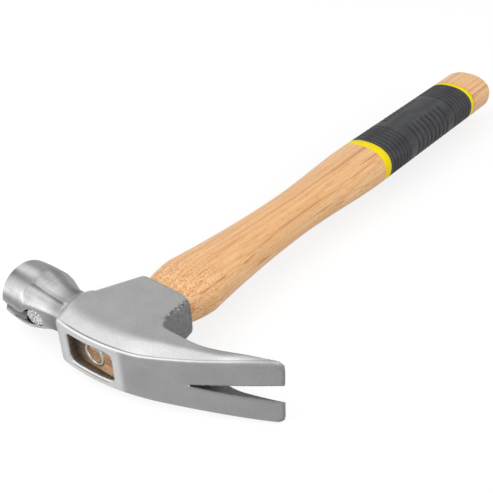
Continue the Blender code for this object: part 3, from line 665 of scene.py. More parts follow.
def poll_mesh():
    """The turned bell, trimmed by an eight-sided cove that leaves scalloped flats behind it."""
    rim_reach = FACE_REACH - RIM_CHAMFER
    rim_radius = FACE_RADIUS + RIM_CHAMFER
    inner_reach = NECK_ROOT_REACH - RIM_CHAMFER
    hub = 0.5 * RIM_CHAMFER
    profile = [(hub, FACE_REACH), (FACE_RADIUS, FACE_REACH), (rim_radius, rim_reach)]
    for share in spread(0.0, 1.0, CURVE_STEPS)[1:]:
        reach = lerp(rim_reach, BELL_CROWN_REACH, share)
        swell = 1.0 - (1.0 - share) ** 2
        profile.append((lerp(rim_radius, BELL_RADIUS, swell), reach))
    profile += [(BELL_RADIUS, inner_reach), (hub, inner_reach)]
    along = Matrix.Translation((0.0, POLL_DEPTH, 0.0)) @ Matrix.Rotation(-math.pi / 2, 4, "Y")
    bell = add_object("poll", turned("poll", profile, along))

    stations = spread(inner_reach - RIM_CHAMFER, FACE_REACH + RIM_CHAMFER, NECK_STEPS)
    cut(bell, loft("poll_neck", [neck_ring(reach) for reach in stations]), "INTERSECT")
    angles = [2.0 * math.pi * i / CORE_SIDES for i in range(CORE_SIDES)]
    core = [[(-reach, POLL_DEPTH + 2.0 * hub * math.cos(a), 2.0 * hub * math.sin(a)) for a in angles]
            for reach in (inner_reach, FACE_REACH)]
    cut(bell, loft("poll_core", core), "UNION")
    mesh = bell.data
    bpy.data.objects.remove(bell)
    return mesh


def skirt_section(y, inset=0.0):
    """The skirt across Y: upright in the neck, then a straight sweep to its end."""
    share = max(portion(y, SKIRT_SWEEP_START, SKIRT_END), 0.0)
    low = -lerp(NECK_ROOT_REACH, SKIRT_END_POLL_REACH, share) + inset
    high = lerp(SKIRT_CLAW_REACH, SKIRT_END_CLAW_REACH, share) - inset
    half = cheek_half_width(0.0, y) - SKIRT_RELIEF - inset
    corners = [(low, -half), (high, -half), (high, half), (low, half)]
    corner = lerp(SKIRT_CLAW_CORNER, SKIRT_END_CLAW_CORNER, share)
    reaches = [SKIRT_POLL_CORNER, corner, corner, SKIRT_POLL_CORNER]
    return [(x, y, z) for x, z in rounded_outline(corners, reaches)]


def skirt_mesh():
    rings = [skirt_section(y) for y in spread(SKIRT_START, SKIRT_END - SKIRT_EDGE, SWEEP_STEPS)]
    rings.append(skirt_section(SKIRT_END, SKIRT_EDGE))
    return loft("skirt", rings)


def socket_size(y, clearance=0.0):
    """Half length, half width and exponent of the eye at a depth, less a clearance."""
    share = y / SKIRT_END
    length = lerp(EYE_HALF_LENGTH, SOCKET_HALF_LENGTH, share) - clearance
    width = lerp(EYE_HALF_WIDTH, SOCKET_HALF_WIDTH, share) - clearance
    return length, width, lerp(EYE_SQUARENESS, SOCKET_SQUARENESS, ease(share))


def eye_mesh():
    """The tapered hole for the handle, with a small chamfer at its mouth that follows the crown."""
    length, width, squareness = socket_size(0.0)
    above = oval(-3.0 * EYE_RIM, length + EYE_RIM, width + EYE_RIM, squareness)
    rings = [above, [(x, top_depth(x), z) for x, y, z in above]]
    rings.append([(x, top_depth(x) + EYE_RIM, z) for x, y, z in oval(0.0, length, width, squareness)])
    rings += [oval(y, *socket_size(y)) for y in spread(TENON_DEPTH, SKIRT_END + EYE_RIM, CURVE_STEPS)]
    return loft("eye", rings)


def notch_half_gap(x):
    return 0.5 * lerp(NOTCH_ROOT_GAP, NOTCH_TIP_GAP, portion(x, NOTCH_ROOT, CLAW_REACH))


def notch_mesh():
    """The V between the claws: it widens to the tips, with chamfered edges and walls that slope out."""
    rings = []
    for x in spread(NOTCH_ROOT - NOTCH_RUN_OUT, CLAW_REACH + TIP_CORNER, SWEEP_STEPS):
        top = top_depth(min(x, CLAW_REACH))
        high = under_depth(min(x, CLAW_REACH)) + TIP_CORNER
        opened = ease((x - NOTCH_ROOT) / NOTCH_BEVEL_RUN)
        gap = notch_half_gap(x)
        wide = gap + NOTCH_BEVEL * opened * (high - top)
        edge = NOTCH_EDGE * opened
        half = [(gap + edge, top - BEVEL_HEIGHT), (gap + edge, top), (gap, top + edge), (wide, high)]
        rings.append([(x, y, z) for z, y in mirrored(half)])
    return loft("notch", rings)


def rod_mesh(name, radius, start, end):
    """A round bar between two points."""
    axis = Vector(end) - Vector(start)
    turn = axis.to_track_quat("Z", "Y").to_matrix().to_4x4()
    mesh = loft(name, [[(x, y, height) for x, y in circle(radius)] for height in (0.0, axis.length)])
    mesh.transform(Matrix.Translation(start) @ turn)
    return mesh


def groove_mesh():
    depth = GROOVE_DEPTH - GROOVE_RADIUS
    start = (-MAGNET_REACH, depth, -NAIL_LINE_OFFSET)
    end = (-FACE_REACH - RIM_CHAMFER, depth, -NAIL_LINE_OFFSET)
    return rod_mesh("nail_groove", GROOVE_RADIUS, start, end)


def magnet_axis():
    """The magnet's place: the middle of its face, with +Y square to the face into the neck."""
    place = Matrix.Translation((-MAGNET_REACH, MAGNET_DEPTH, -NAIL_LINE_OFFSET))
    return place @ Matrix.Rotation(MAGNET_TILT, 4, "Z")


def magnet_hole_mesh():
    start = (-MAGNET_HOLE_PLAY, -MAGNET_DEPTH, 0.0)
    end = (-MAGNET_HOLE_PLAY, MAGNET_THICKNESS + FIT_GAP, 0.0)
    mesh = rod_mesh("magnet_hole", MAGNET_RADIUS + FIT_GAP + MAGNET_HOLE_PLAY, start, end)
    mesh.transform(magnet_axis())
    return mesh


def mesh_arrays(mesh):
    """Points, normals and edges of a mesh as arrays."""
    points = np.empty(len(mesh.vertices) * 3)
    normals = np.empty(len(mesh.vertices) * 3)
    edges = np.empty(len(mesh.edges) * 2, dtype=int)
    mesh.vertices.foreach_get("co", points)
    mesh.vertex_normals.foreach_get("vector", normals)
    mesh.edges.foreach_get("vertices", edges)
    return points.reshape(-1, 3), normals.reshape(-1, 3), edges.reshape(-1, 2)


def rise(values, span):
    """0 before a span's start and 1 after its end, with a soft step between them."""
    share = np.clip(portion(values, *span), 0.0, 1.0)
    return share * share * (3.0 - 2.0 * share)


def soften(values, edges, rounds):
    """Averages a value on each point with its neighbours' values."""
    count = np.bincount(edges.ravel(), minlength=len(values))
    for _ in range(rounds):
        total = np.bincount(edges[:, 0], values[edges[:, 1]], len(values))
        total += np.bincount(edges[:, 1], values[edges[:, 0]], len(values))
        values = 0.5 * values + 0.5 * total / np.maximum(count, 1)
    return values


def poll_streaks_and_reflections(points, normals):
    """Tone of the poll's skin: streaks with painted reflections along the bell, others with painted shade
    along the neck's flats, and an even face.
    """
    x, y, z = points.T
    angle = np.degrees(np.arctan2(np.abs(z), POLL_DEPTH - y))
    bell = np.interp(angle, *zip(*BELL_STREAKS_AND_REFLECTIONS))
    neck = np.interp(angle, *zip(*NECK_STREAKS_AND_REFLECTIONS)) * lerp(NECK_ROOT_SHADE, 1.0, rise(-x, NECK_SHADE_END))
    out = np.hypot(y - POLL_DEPTH, z) - BELL_RADIUS
    on_bell = np.maximum(rise(out, BELL_SKIN), rise(-x, BELL_START))
    return lerp(lerp(neck, bell, on_bell), FACE_TONE, rise(-normals[:, 0], FACES_POLL))


def nail_starter(x, y, z):
    """1 on the walls of the nail groove and of the magnet's hole."""
    flat = np.vectorize(neck_span)(-x) * math.cos(NECK_CORNER)
    skin = np.minimum(BELL_RADIUS - BELL_RELIEF, flat)
    sunk = 1.0 - rise(np.hypot(y - POLL_DEPTH, z) - skin, SUNK_SKIN)
    beside = (x + MAGNET_REACH) * math.cos(MAGNET_TILT) + (y - MAGNET_DEPTH) * math.sin(MAGNET_TILT)
    off_line = z + NAIL_LINE_OFFSET
    hole = np.hypot(beside + MAGNET_HOLE_PLAY, off_line) < MAGNET_RADIUS + 2.0 * MAGNET_HOLE_PLAY
    groove = (np.abs(off_line) < GROOVE_RADIUS) & (y < GROOVE_DEPTH + FIT_GAP) & (x < -MAGNET_REACH)
    return sunk * (hole | groove)


def notch_walls(x, z, up):
    """1 on the walls of the nail notch."""
    gap = np.vectorize(notch_half_gap)(np.maximum(x, NOTCH_ROOT))
    inward = rise(-up * np.sign(z), FACES_NOTCH) * rise(x, (NOTCH_ROOT - MILLIMETRE, NOTCH_ROOT))
    return inward * (1.0 - rise(np.abs(z), (gap, gap + NOTCH_WALL)))


def eye_lip(x, z, below):
    """How far each point of the top lies out from the eye's mouth, in mm."""
    width = EYE_HALF_WIDTH + EYE_RIM
    beside = (np.abs(x) / (EYE_HALF_LENGTH + EYE_RIM)) ** EYE_SQUARENESS
    beside += (np.abs(z) / width) ** EYE_SQUARENESS
    out = width * (beside ** (1.0 / EYE_SQUARENESS) - 1.0)
    return out / MILLIMETRE + LIP_FAR * rise(below, LIP_END)


def steel_zones(points, normals):
    """What the head's points carry for its steel: the share of each finish and of painted shade, the rest
    being satin, the tone of the poll's streaks and painted reflections, and how far they lie below the top
    and out from the eye's lip, in mm."""
    x, y, z = points.T
    across, along, up = normals.T
    below = y - np.vectorize(top_depth)(x)
    top = rise(-along, FACES_TOP) * rise(x, TOP_START)
    claw = rise(x, CLAW_START)
    reach = np.interp(x, BEVEL_PLACES, BEVEL_REACHES)
    soft = np.interp(x, BEVEL_PLACES, BEVEL_SOFTNESS)
    bevel = (1.0 - rise(below, (reach - soft, reach + soft))) * (1.0 - top)
    bevel *= rise(x, BEVEL_START) * rise(below, BEVEL_EDGE)
    in_eye = (np.abs(x) < SOCKET_HALF_LENGTH) & (np.abs(z) < SOCKET_HALF_WIDTH) & (below > EYE_RIM)

    in_notch = notch_walls(x, z, up)
    beyond_neck = rise(x, FORGED_START)
    socket_side = rise(np.abs(across), FACES_SIDE) * rise(y, SOCKET_START) * beyond_neck
    underside = rise(along, FACES_UNDER) * beyond_neck
    # As-forged faces: their darker tone is partly as-forged scale and partly painted shade on the underside
    # and the skirt's sides
    forged = np.clip(socket_side + underside + in_notch, 0.0, 1.0) * (1.0 - in_eye)
    return {
        "land": top * (1.0 - claw) * lerp(LAND_LEAST, 1.0, rise(x, LAND_START)) * (1.0 - forged),
        "bevel": bevel * (1.0 - forged),
        "turned": 1.0 - rise(x, POLL_END),
        "streak_and_reflection": poll_streaks_and_reflections(points, normals),
        "ground": top * claw * (1.0 - forged),
        "forged": forged,
        # painted shade on the walls of the nail groove, the magnet's hole and the notch
        "shaded_hollow": np.maximum(nail_starter(x, y, z), in_notch),
        # painted shade and painted brown reflection of the wood on the eye's walls
        "eye_wall_shade": in_eye * rise(below, EYE_SHADE_START),
        "below": below / MILLIMETRE,
        "lip": eye_lip(x, z, below),
    }


def sharp_edges(points, normals, edges):
    """How far each point stands out from its smoothed surroundings, as 0 to 1, for wear and painted
    highlights along edges.
    """
    smooth = np.stack([soften(axis, edges, EDGE_ROUNDS) for axis in points.T], axis=1)
    proud = np.sum((points - smooth) * normals, axis=1) / HEAD_VOXEL
    return rise(soften(proud, edges, EDGE_BLUR), EDGE_STEP)


def rough_forging(points, normals, forged):
    """The head's points moved a little, for uneven as-forged faces and chips along the skirt's corner, and
    how chipped each is, less than 0 where the corner is bare."""
    x, y, z = points.T
    share = np.clip(portion(y, SKIRT_SWEEP_START, SKIRT_END), 0.0, 1.0)
    reach = lerp(SKIRT_CLAW_REACH, SKIRT_END_CLAW_REACH, share)
    corner = RIDGE_INSET * lerp(SKIRT_CLAW_CORNER, SKIRT_END_CLAW_CORNER, share)
    off = np.hypot(x - reach + corner, np.abs(z) - cheek_half_width(0.0, y) + corner)
    ridge = (1.0 - rise(off, RIDGE_WIDTHS)) * rise(y, RIDGE_START)
    lumps = np.array([noise.noise(Vector(p) / FORGE_LUMP_SIZE) for p in points])
    chips = np.array([noise.noise(Vector(p) / RIDGE_CHIP_SIZE) for p in points])
    move = FORGE_LUMPS * forged * lumps - RIDGE_CHIPS * ridge * np.clip(chips + CHIP_BIAS, 0.0, 1.0)
    return points + normals * move[:, None], ridge * (CHIP_MEAN + CHIP_SWING * chips)


def make_head(material):
    head = add_object("head_skin", body_mesh())
    cut(head, skirt_mesh(), "UNION")
    cut(head, poll_mesh(), "UNION")
    for mesh in (eye_mesh(), notch_mesh(), groove_mesh(), magnet_hole_mesh()):
        cut(head, mesh, "DIFFERENCE")
    remesh = head.modifiers.new("skin", "REMESH")
    remesh.mode = "VOXEL"
    remesh.voxel_size = HEAD_VOXEL
    smooth = head.modifiers.new("soften", "SMOOTH")
    smooth.iterations = HEAD_SMOOTHING
    settle(head)
    points, normals, edges = mesh_arrays(head.data)
    zones = steel_zones(points, normals)
    zones["edge"] = sharp_edges(points, normals, edges)
    moved, zones["chipped"] = rough_forging(points, normals, zones["forged"])
    head.data.vertices.foreach_set("co", moved.ravel())
    for name, values in zones.items():
        layer = head.data.attributes.new(name, "FLOAT", "POINT")
        rounds = ZONE_ROUNDS.get(name, OTHER_ZONE_ROUNDS)
        layer.data.foreach_set("value", soften(values, edges, rounds))
    finish_piece(head, "hammer_head", material)


def make_magnet(material):
    """A disc of rough cast magnet: rounded at the rim, with a lumpy face."""
    rings = []
    for share in spread(MAGNET_HUB, 1.0, MAGNET_STEPS):
        drop = MAGNET_ROUND * ease(portion(share, MAGNET_ROUND_FROM, 1.0))
        ring = []
        for x, z in circle(MAGNET_RADIUS * share):
            lump = MAGNET_LUMPS * noise.noise(Vector((x, 0.0, z)) / MAGNET_LUMP_SIZE)
            ring.append((x, drop + abs(lump), z))
        rings.append(ring)
    rings.append([(x, MAGNET_THICKNESS, z) for x, y, z in rings[-1]])
    mesh = loft("magnet_face", rings)
    mesh.transform(magnet_axis())
    magnet = add_object("magnet_face", mesh)
    finish_piece(magnet, "nail_magnet", material, sharp=40)


# Handle and wedges


def handle_size(y):
    """Half length and half width of the bare handle, from the skirt to the butt."""
    if y < SHOULDER_Y:
        ends = (socket_size(SKIRT_END, FIT_GAP)[:2], SHOULDER_HALVES)
        share = portion(y, SKIRT_END, SHOULDER_Y)
        share *= 1.0 + SHOULDER_SWELL * (1.0 - share)
    elif y < NECK_Y:
        ends = (SHOULDER_HALVES, NECK_HALVES)
        share = 1.0 - (1.0 - portion(y, SHOULDER_Y, NECK_Y)) ** 2
    else:
        ends = (NECK_HALVES, GRIP_HALVES)
        share = ease(portion(y, NECK_Y, FRONT_BAND_START))
    return [lerp(start, end, share) for start, end in zip(*ends)]


def handle_ring(y, inset=0.0):
    length, width = handle_size(y)
    return oval(y, length - inset, width - inset, HANDLE_ROUNDNESS)


def ring_mesh(name, clearance, top):
    """The ring wedge grown by a clearance, up to a height, with its upper edges rounded."""
    outer = RING_RADIUS + clearance
    inner = RING_RADIUS - RING_WALL - clearance
    bottom = -RING_HEIGHT - clearance
    profile = [(inner, bottom), (outer, bottom), (outer, top - RING_ROUND)]
    profile += [(outer - RING_ROUND, top), (inner + RING_ROUND, top), (inner, top - RING_ROUND)]
    place = Matrix.Translation((0.0, TENON_DEPTH - RING_PROUD, 0.0))
    return turned(name, profile, place @ Matrix.Rotation(math.pi / 2, 4, "X"))


def wedge_rings(clearance, proud, half_length):
    """A slab along the eye that tapers from the end grain down."""
    rings = []
    top = 0.5 * WEDGE_TOP_THICKNESS + clearance
    tip = 0.5 * WEDGE_TIP_THICKNESS + clearance
    for share in (-proud / WEDGE_HEIGHT, 1.0 + clearance / WEDGE_HEIGHT):
        half = lerp(top, tip, share)
        y = TENON_DEPTH + WEDGE_HEIGHT * share
        rings.append([(x, y, z) for x, z in rectangle(half_length, half)])
    return rings


def make_handle(material):
    rings = [oval(y, *socket_size(y, FIT_GAP)) for y in spaced(TENON_DEPTH, SKIRT_END, RING_SPACING)]
    for y in spaced(SKIRT_END, SHOULDER_Y, RING_SPACING)[1:]:
        roundness = lerp(SOCKET_SQUARENESS, HANDLE_ROUNDNESS, portion(y, SKIRT_END, SHOULDER_Y))
        rings.append(oval(y, *handle_size(y), roundness))
    rings += [handle_ring(y) for y in spaced(SHOULDER_Y, FRONT_BAND_START, RING_SPACING)[1:]]
    rings += [handle_ring(FRONT_BAND_START, GRIP_WALL), handle_ring(REAR_BAND_END, GRIP_WALL)]
    start = OVERALL_LENGTH - BUTT_ROUND
    rings += [handle_ring(y) for y in spaced(REAR_BAND_END, start, RING_SPACING)]
    for turn in spread(0.0, 0.5 * math.pi, BUTT_STEPS)[1:]:
        inset = BUTT_ROUND * (1.0 - math.cos(turn))
        rings.append(handle_ring(start + BUTT_ROUND * math.sin(turn), inset))
    handle = add_object("handle_wood", loft("handle_wood", rings))
    cut(handle, loft("kerf", wedge_rings(FIT_GAP, BEVEL_HEIGHT, SOCKET_HALF_LENGTH)), "DIFFERENCE")
    cut(handle, ring_mesh("ring_pocket", FIT_GAP, RING_HEIGHT), "DIFFERENCE")
    finish_piece(handle, "handle", material, sharp=35)


def make_wooden_wedge(material):
    half_length = socket_size(TENON_DEPTH, FIT_GAP)[0]
    wedge = add_object("wedge_slip", loft("wedge_slip", wedge_rings(0.0, 0.0, half_length)))
    cut(wedge, ring_mesh("ring_pocket", FIT_GAP, RING_HEIGHT), "DIFFERENCE")
    finish_piece(wedge, "wooden_wedge", material, sharp=35)


def make_ring_wedge(material):
    ring = add_object("wedge_ring", ring_mesh("wedge_ring", 0.0, 0.0))
    finish_piece(ring, "ring_wedge", material, sharp=50)


# Grip


def tube(name, outer_rings):
    """A sleeve round the handle's seat, from its outer rings in order along the handle."""
    start = outer_rings[0][0][1]
    end = outer_rings[-1][0][1]
    inset = GRIP_WALL - FIT_GAP
    rings = outer_rings + [handle_ring(end, inset), handle_ring(start, inset)]
    return add_object(name, loft(name, rings, closed=True))


def make_bands(material):
    front = (FRONT_BAND_START + FIT_GAP, SLEEVE_START)
    rear = (SLEEVE_END, REAR_BAND_END - FIT_GAP)
    for name, (start, end) in (("front_band", front), ("rear_band", rear)):
        insets = [(BAND_ROUND * share, BAND_ROUND * (1.0 - share) ** 2) for share in BAND_ROUND_STEPS]
        rings = [handle_ring(start + reach, inset) for reach, inset in insets]
        rings += [handle_ring(end - reach, inset) for reach, inset in reversed(insets)]
        band = tube(f"{name}_ring", rings)
        finish_piece(band, name, material, sharp=50)


def groove_share(y, first, pitch, count):
    """How deep a row of grooves is at y, from 0 on a rib to 1 at a groove's floor."""
    place = (y - first) / pitch
    if place < -0.5 or place > count - 0.5:
        return 0.0
    return (0.5 + 0.5 * math.cos(2.0 * math.pi * place)) ** GROOVE_SHARPNESS


def groove_at(x, y):
    """How deep the sleeve is grooved, as 0 to 1: all round near its ends, and between them on its sides."""
    group = END_RIB_PITCH * (END_RIB_COUNT - 1)
    side = SIDE_RIB_PITCH * (SIDE_RIB_COUNT - 1)
    front = groove_share(y, SLEEVE_START + END_RIB_MARGIN, END_RIB_PITCH, END_RIB_COUNT)
    rear = groove_share(y, SLEEVE_END - END_RIB_MARGIN - group, END_RIB_PITCH, END_RIB_COUNT)
    middle = groove_share(y, 0.5 * (SLEEVE_START + SLEEVE_END - side), SIDE_RIB_PITCH, SIDE_RIB_COUNT)
    fade = ease(portion(abs(x) / handle_size(y)[0], SIDE_RIB_FROM, SIDE_RIB_FULL))
    return max(front, rear, middle * fade)


def sleeve_ring(y):
    points = []
    for high, low in zip(handle_ring(y), handle_ring(y, RIB_DEPTH)):
        share = groove_at(high[0], y)
        points.append(tuple(lerp(a, b, share) for a, b in zip(high, low)))
    return points


def make_sleeve(material):
    stations = spaced(SLEEVE_START + FIT_GAP, SLEEVE_END - FIT_GAP, RIB_SPACING)
    sleeve = tube("grip_rubber_sleeve", [sleeve_ring(y) for y in stations])
    layer = sleeve.data.attributes.new("groove", "FLOAT", "POINT")
    layer.data.foreach_set("value", [groove_at(v.co.x, v.co.y) for v in sleeve.data.vertices])
    finish_piece(sleeve, "grip_sleeve", material, sharp=60)


# Materials


def srgb(colour):
    """A screen colour of 0 to 255 as the linear colour that a shader takes, by the usual sRGB curve."""
    linear = []
    for value in colour:
        value /= 255.0
        linear.append(value / 12.92 if value <= 0.04045 else ((value + 0.055) / 1.055) ** 2.4)
    return (*linear, 1.0)


class Paint:
    """The nodes of a material or a world. Methods add a node and give its output, for others to take in."""

    def __init__(self, owner):
        owner.use_nodes = True
        self.owner = owner
        self.tree = owner.node_tree

    def feed(self, node, inputs):
        """Sets each input to a value, or links it from an output."""
        for key, value in inputs.items():
            if isinstance(value, bpy.types.NodeSocket):
                self.tree.links.new(value, node.inputs[key])
            else:
                node.inputs[key].default_value = value

    def add(self, kind, inputs, output=0, **settings):
        node = self.tree.nodes.new(f"ShaderNode{kind}")
        for name, value in settings.items():
            setattr(node, name, value)
        self.feed(node, inputs)
        return node.outputs[output]

    def place(self):
        """The drawing's coordinates."""
        return self.add("TexCoord", {}, "Object")

    def axis(self, name):
        """One of the drawing's coordinates."""
        return self.add("SeparateXYZ", {0: self.place()}, name)

    def stretched(self, scales, shift):
        """The drawing's coordinates, times a scale for each axis and then shifted."""
        return self.add("Mapping", {"Vector": self.place(), "Scale": scales, "Location": shift}, "Vector")

    def noise(self, scale, detail, roughness, shift=(0.0, 0.0, 0.0)):
        """Noise by a scale per metre, one for all axes or one for each."""
        scales = scale if isinstance(scale, tuple) else (scale, scale, scale)
        inputs = {"Vector": self.stretched(scales, shift), "Scale": 1.0}
        return self.add("TexNoise", {**inputs, "Detail": detail, "Roughness": roughness}, "Fac")

    def zone(self, name):
        """A value that the piece's points carry."""
        return self.add("Attribute", {}, "Fac", attribute_name=name)

    def maths(self, operation, first, second=0.0):
        return self.add("Math", {0: first, 1: second}, operation=operation)

    def times(self, first, *others):
        for other in others:
            first = self.maths("MULTIPLY", first, other)
        return first

    def off(self, value, middle):
        """How far a value lies to either side of a middle."""
        return self.maths("ABSOLUTE", self.maths("SUBTRACT", value, middle))

    def remap(self, value, span, new_span):
        """A value's place in a span, at most its ends, as the same place in a new span."""
        keys = ("Value", "From Min", "From Max", "To Min", "To Max")
        return self.add("MapRange", dict(zip(keys, (value, *span, *new_span))), "Result")

    def sway(self, noise, new_span):
        """A noise as values that mostly fill a span."""
        return self.remap(noise, NOISE_RANGE, new_span)

    def mix(self, share, first, second):
        return self.add("Mix", {0: share, 2: first, 3: second})

    def mix_colours(self, share, first, second):
        return self.add("Mix", {0: share, 6: first, 7: second}, 2, data_type="RGBA")

    def by_zone(self, value, others):
        """A value that gives way to another one in each of the zones named, in turn."""
        for name, other in others.items():
            value = self.mix(self.zone(name), value, other)
        return value

    def tint(self, colour, shade, value, span, share=1.0, where=1.0):
        """A colour that takes on a shade as a value goes through a span, by up to a share, times where."""
        amount = self.times(self.remap(value, span, (0.0, share)), where)
        return self.mix_colours(amount, colour, srgb(shade))

    def two_tone(self, pair, value, span, share=1.0):
        """The first of two colours, that takes on the second."""
        return self.tint(srgb(pair[0]), pair[1], value, span, share)

    def dress(self, colour, rough, height, depth, **others):
        """Feeds the material's shader, with bumps by a height that are a depth deep. Gives the material."""
        normal = self.add("Bump", {"Height": height, "Distance": depth}, "Normal")
        inputs = {"Base Color": colour, "Roughness": rough, "Normal": normal}
        inputs.update({key.replace("_", " "): value for key, value in others.items()})
        self.feed(self.tree.nodes["Principled BSDF"], inputs)
        return self.owner


def head_tone(paint, grain):
    """Grey of the head's finishes with their grain, with painted shade in its chips and along its crease,
    and wear with painted highlights on its edges.
    """
    along = paint.axis("X")
    at_tip = paint.remap(along, BEVEL_TIP_CHANGE, (1.0, BEVEL_TIP_SHARE))
    streaks = paint.remap(paint.noise(*STREAK_GRAIN), STREAK_RANGE, STREAK_SWAY)
    tones = {
        "land": LAND_TONE,
        "bevel": paint.times(paint.remap(along, BEVEL_CHANGE, BEVEL_TONES), at_tip),
        # the poll's streaks carry painted reflections and painted shade
        "turned": paint.times(paint.zone("streak_and_reflection"), streaks),
        **ZONE_TONES_AND_PAINTED_SHADES,
    }
    tone = paint.by_zone(paint.remap(along, SATIN_CHANGE, SATIN_TONES), tones)
    sways = {name: paint.sway(grain, span) for name, span in ZONE_SWAYS.items()}
    sway = paint.by_zone(paint.sway(grain, SATIN_SWAY), sways)
    tone = paint.times(tone, sway, paint.sway(paint.noise(*CLOUD_GRAIN), CLOUD_SWAY))

    chipped = paint.zone("chipped")
    # Painted shade in the chips along the skirt's corner, and lighter bare steel between them
    for value, share, step in (CHIP_SHADE, BARE):
        tone = paint.mix(paint.remap(chipped, step, (0.0, share)), tone, value)
    # Painted shade along the crease under the top edge
    crease = paint.remap(paint.off(paint.zone("below"), CREASE_DEPTH), CREASE_WIDTHS, (CREASE_SHARE, 0.0))
    starting = paint.remap(along, CREASE_START, (0.0, 1.0))
    fading = paint.remap(along, CREASE_FADE, (1.0, CREASE_TIP_SHARE))
    tone = paint.mix(paint.times(crease, starting, fading), tone, CREASE_SHADE_TONE)
    # Wear and painted highlight along sharp edges
    return paint.maths("ADD", tone, paint.times(paint.zone("edge"), WEAR_AND_HIGHLIGHT_TONE))


def head_steel():
    """Satin forged steel, with the finishes, and the painted shade and painted brown reflection of the wood
    in the eye, that the head's points carry.
    """
    paint = Paint(bpy.data.materials.new("steel_head"))
    grains = {name: paint.noise(*kind) for name, kind in ZONE_GRAINS.items()}
    grain = paint.by_zone(paint.noise(*SATIN_GRAIN), grains)
    tone = head_tone(paint, grain)
    eye_wall_shade = paint.zone("eye_wall_shade")
    # Painted shade on the eye's walls, brown as a painted reflection of the wood, with no metal there
    eye_shade_colour = paint.two_tone(EYE_WALL_SHADES, paint.noise(*EYE_SHADE_GRAIN), EYE_SHADE_STEP)
    colour = paint.add("CombineColor", {0: tone, 1: tone, 2: tone})
    colour = paint.mix_colours(eye_wall_shade, colour, eye_shade_colour)
    # A dark brown line round the eye's mouth
    off_rim = paint.off(paint.zone("lip"), RIM_LINE_PLACE)
    along_eye = paint.remap(paint.off(paint.axis("X"), 0.0), RIM_LINE_END, (1.0, 0.0))
    colour = paint.tint(colour, EYE_RIM_LINE, off_rim, RIM_LINE_WIDTHS, RIM_LINE_SHARE, along_eye)

    rough = paint.by_zone(SATIN_ROUGHNESS, ZONE_ROUGHNESS)
    rough = paint.maths("ADD", rough, paint.sway(grain, GRAIN_ROUGHNESS))
    metal = paint.remap(eye_wall_shade, (0.0, 1.0), (1.0, 0.0))
    polish = paint.maths("MAXIMUM", paint.zone("land"), paint.zone("bevel"))
    bumps = paint.by_zone(paint.mix(polish, SATIN_BUMPS, POLISHED_BUMPS), {"forged": 1.0})
    return paint.dress(colour, rough, paint.times(grain, bumps), depth=0.00008, Metallic=metal)


def magnet_metal():
    """Rough silvery cast metal with dark pits."""
    paint = Paint(bpy.data.materials.new("magnet_metal"))
    grain = paint.noise(1500.0, 4.0, 0.7)
    colour = paint.two_tone(MAGNET_TONES, grain, (0.40, 0.54))
    rough = paint.sway(grain, (0.6, 0.3))
    return paint.dress(colour, rough, grain, depth=0.0003, Metallic=1.0)


def ring_steel():
    """Plain drawn steel tube, cut off and a little discoloured by the wood."""
    paint = Paint(bpy.data.materials.new("steel_ring"))
    fine = paint.noise(2600.0, 3.0, 0.6)
    colour = paint.two_tone(RING_TONES, paint.noise(420.0, 4.0, 0.6), (0.52, 0.70), share=0.8)
    rough = paint.sway(fine, (0.28, 0.48))
    return paint.dress(colour, rough, fine, depth=0.00005, Metallic=1.0)


def growth_rings(paint):
    """Broad growth rings about a line beside the handle, that waver along it."""
    place = paint.stretched(scales=(1.0, 0.035, 1.0), shift=(0.031, 0.0, -0.012))
    inputs = {"Vector": place, "Scale": 95.0, "Distortion": 4.0, "Detail": 2.0, "Detail Scale": 6.0}
    inputs["Phase Offset"] = paint.noise((70.0, 7.0, 70.0), 2.0, 0.5)
    kind = {"wave_type": "RINGS", "rings_direction": "Y", "wave_profile": "SAW"}
    return paint.add("TexWave", inputs, "Fac", **kind)


def lengthwise_grain(paint):
    """Colour and height of lengthwise grain: growth rings and lines, fibres, pores and dark streaks."""
    fibres = paint.noise((1500.0, 10.0, 1500.0), 4.0, 0.65)
    pores = paint.noise((2300.0, 330.0, 2300.0), 2.0, 0.5)
    streaks = paint.noise((620.0, 7.0, 620.0), 2.0, 0.5)
    patches = paint.noise((55.0, 9.0, 55.0), 2.0, 0.5)
    off_line = paint.off(paint.noise((170.0, 2.2, 170.0), 0.0, 0.5, shift=(0.0, 0.0, 1.0)), middle=0.5)
    claw_side = paint.remap(paint.axis("X"), STREAK_SIDE, (STREAK_LEAST, 1.0))

    colour = paint.two_tone(WOOD_RINGS, growth_rings(paint), (0.40, 1.0), share=0.85)
    colour = paint.tint(colour, WOOD_PATCH, patches, (0.35, 0.68), share=0.55)
    colour = paint.tint(colour, WOOD_FIBRE, fibres, (0.44, 0.70), share=0.60)
    colour = paint.tint(colour, WOOD_PORE, pores, (0.60, 0.72), share=0.55)
    colour = paint.tint(colour, WOOD_LINE, off_line, (0.030, 0.003), share=0.45)
    colour = paint.tint(colour, WOOD_STREAK, streaks, (0.60, 0.69), share=0.80, where=claw_side)
    pits = paint.remap(pores, (0.60, 0.75), (0.0, 0.6))
    return colour, paint.maths("SUBTRACT", fibres, pits)


def shaded_in_eye(paint, colour):
    """The colour of end grain, darkened by painted shade towards the poll's side of the eye."""
    return paint.tint(colour, END_PAINTED_SHADE, paint.axis("X"), END_SHADE_STEP, END_SHADE_SHARE)


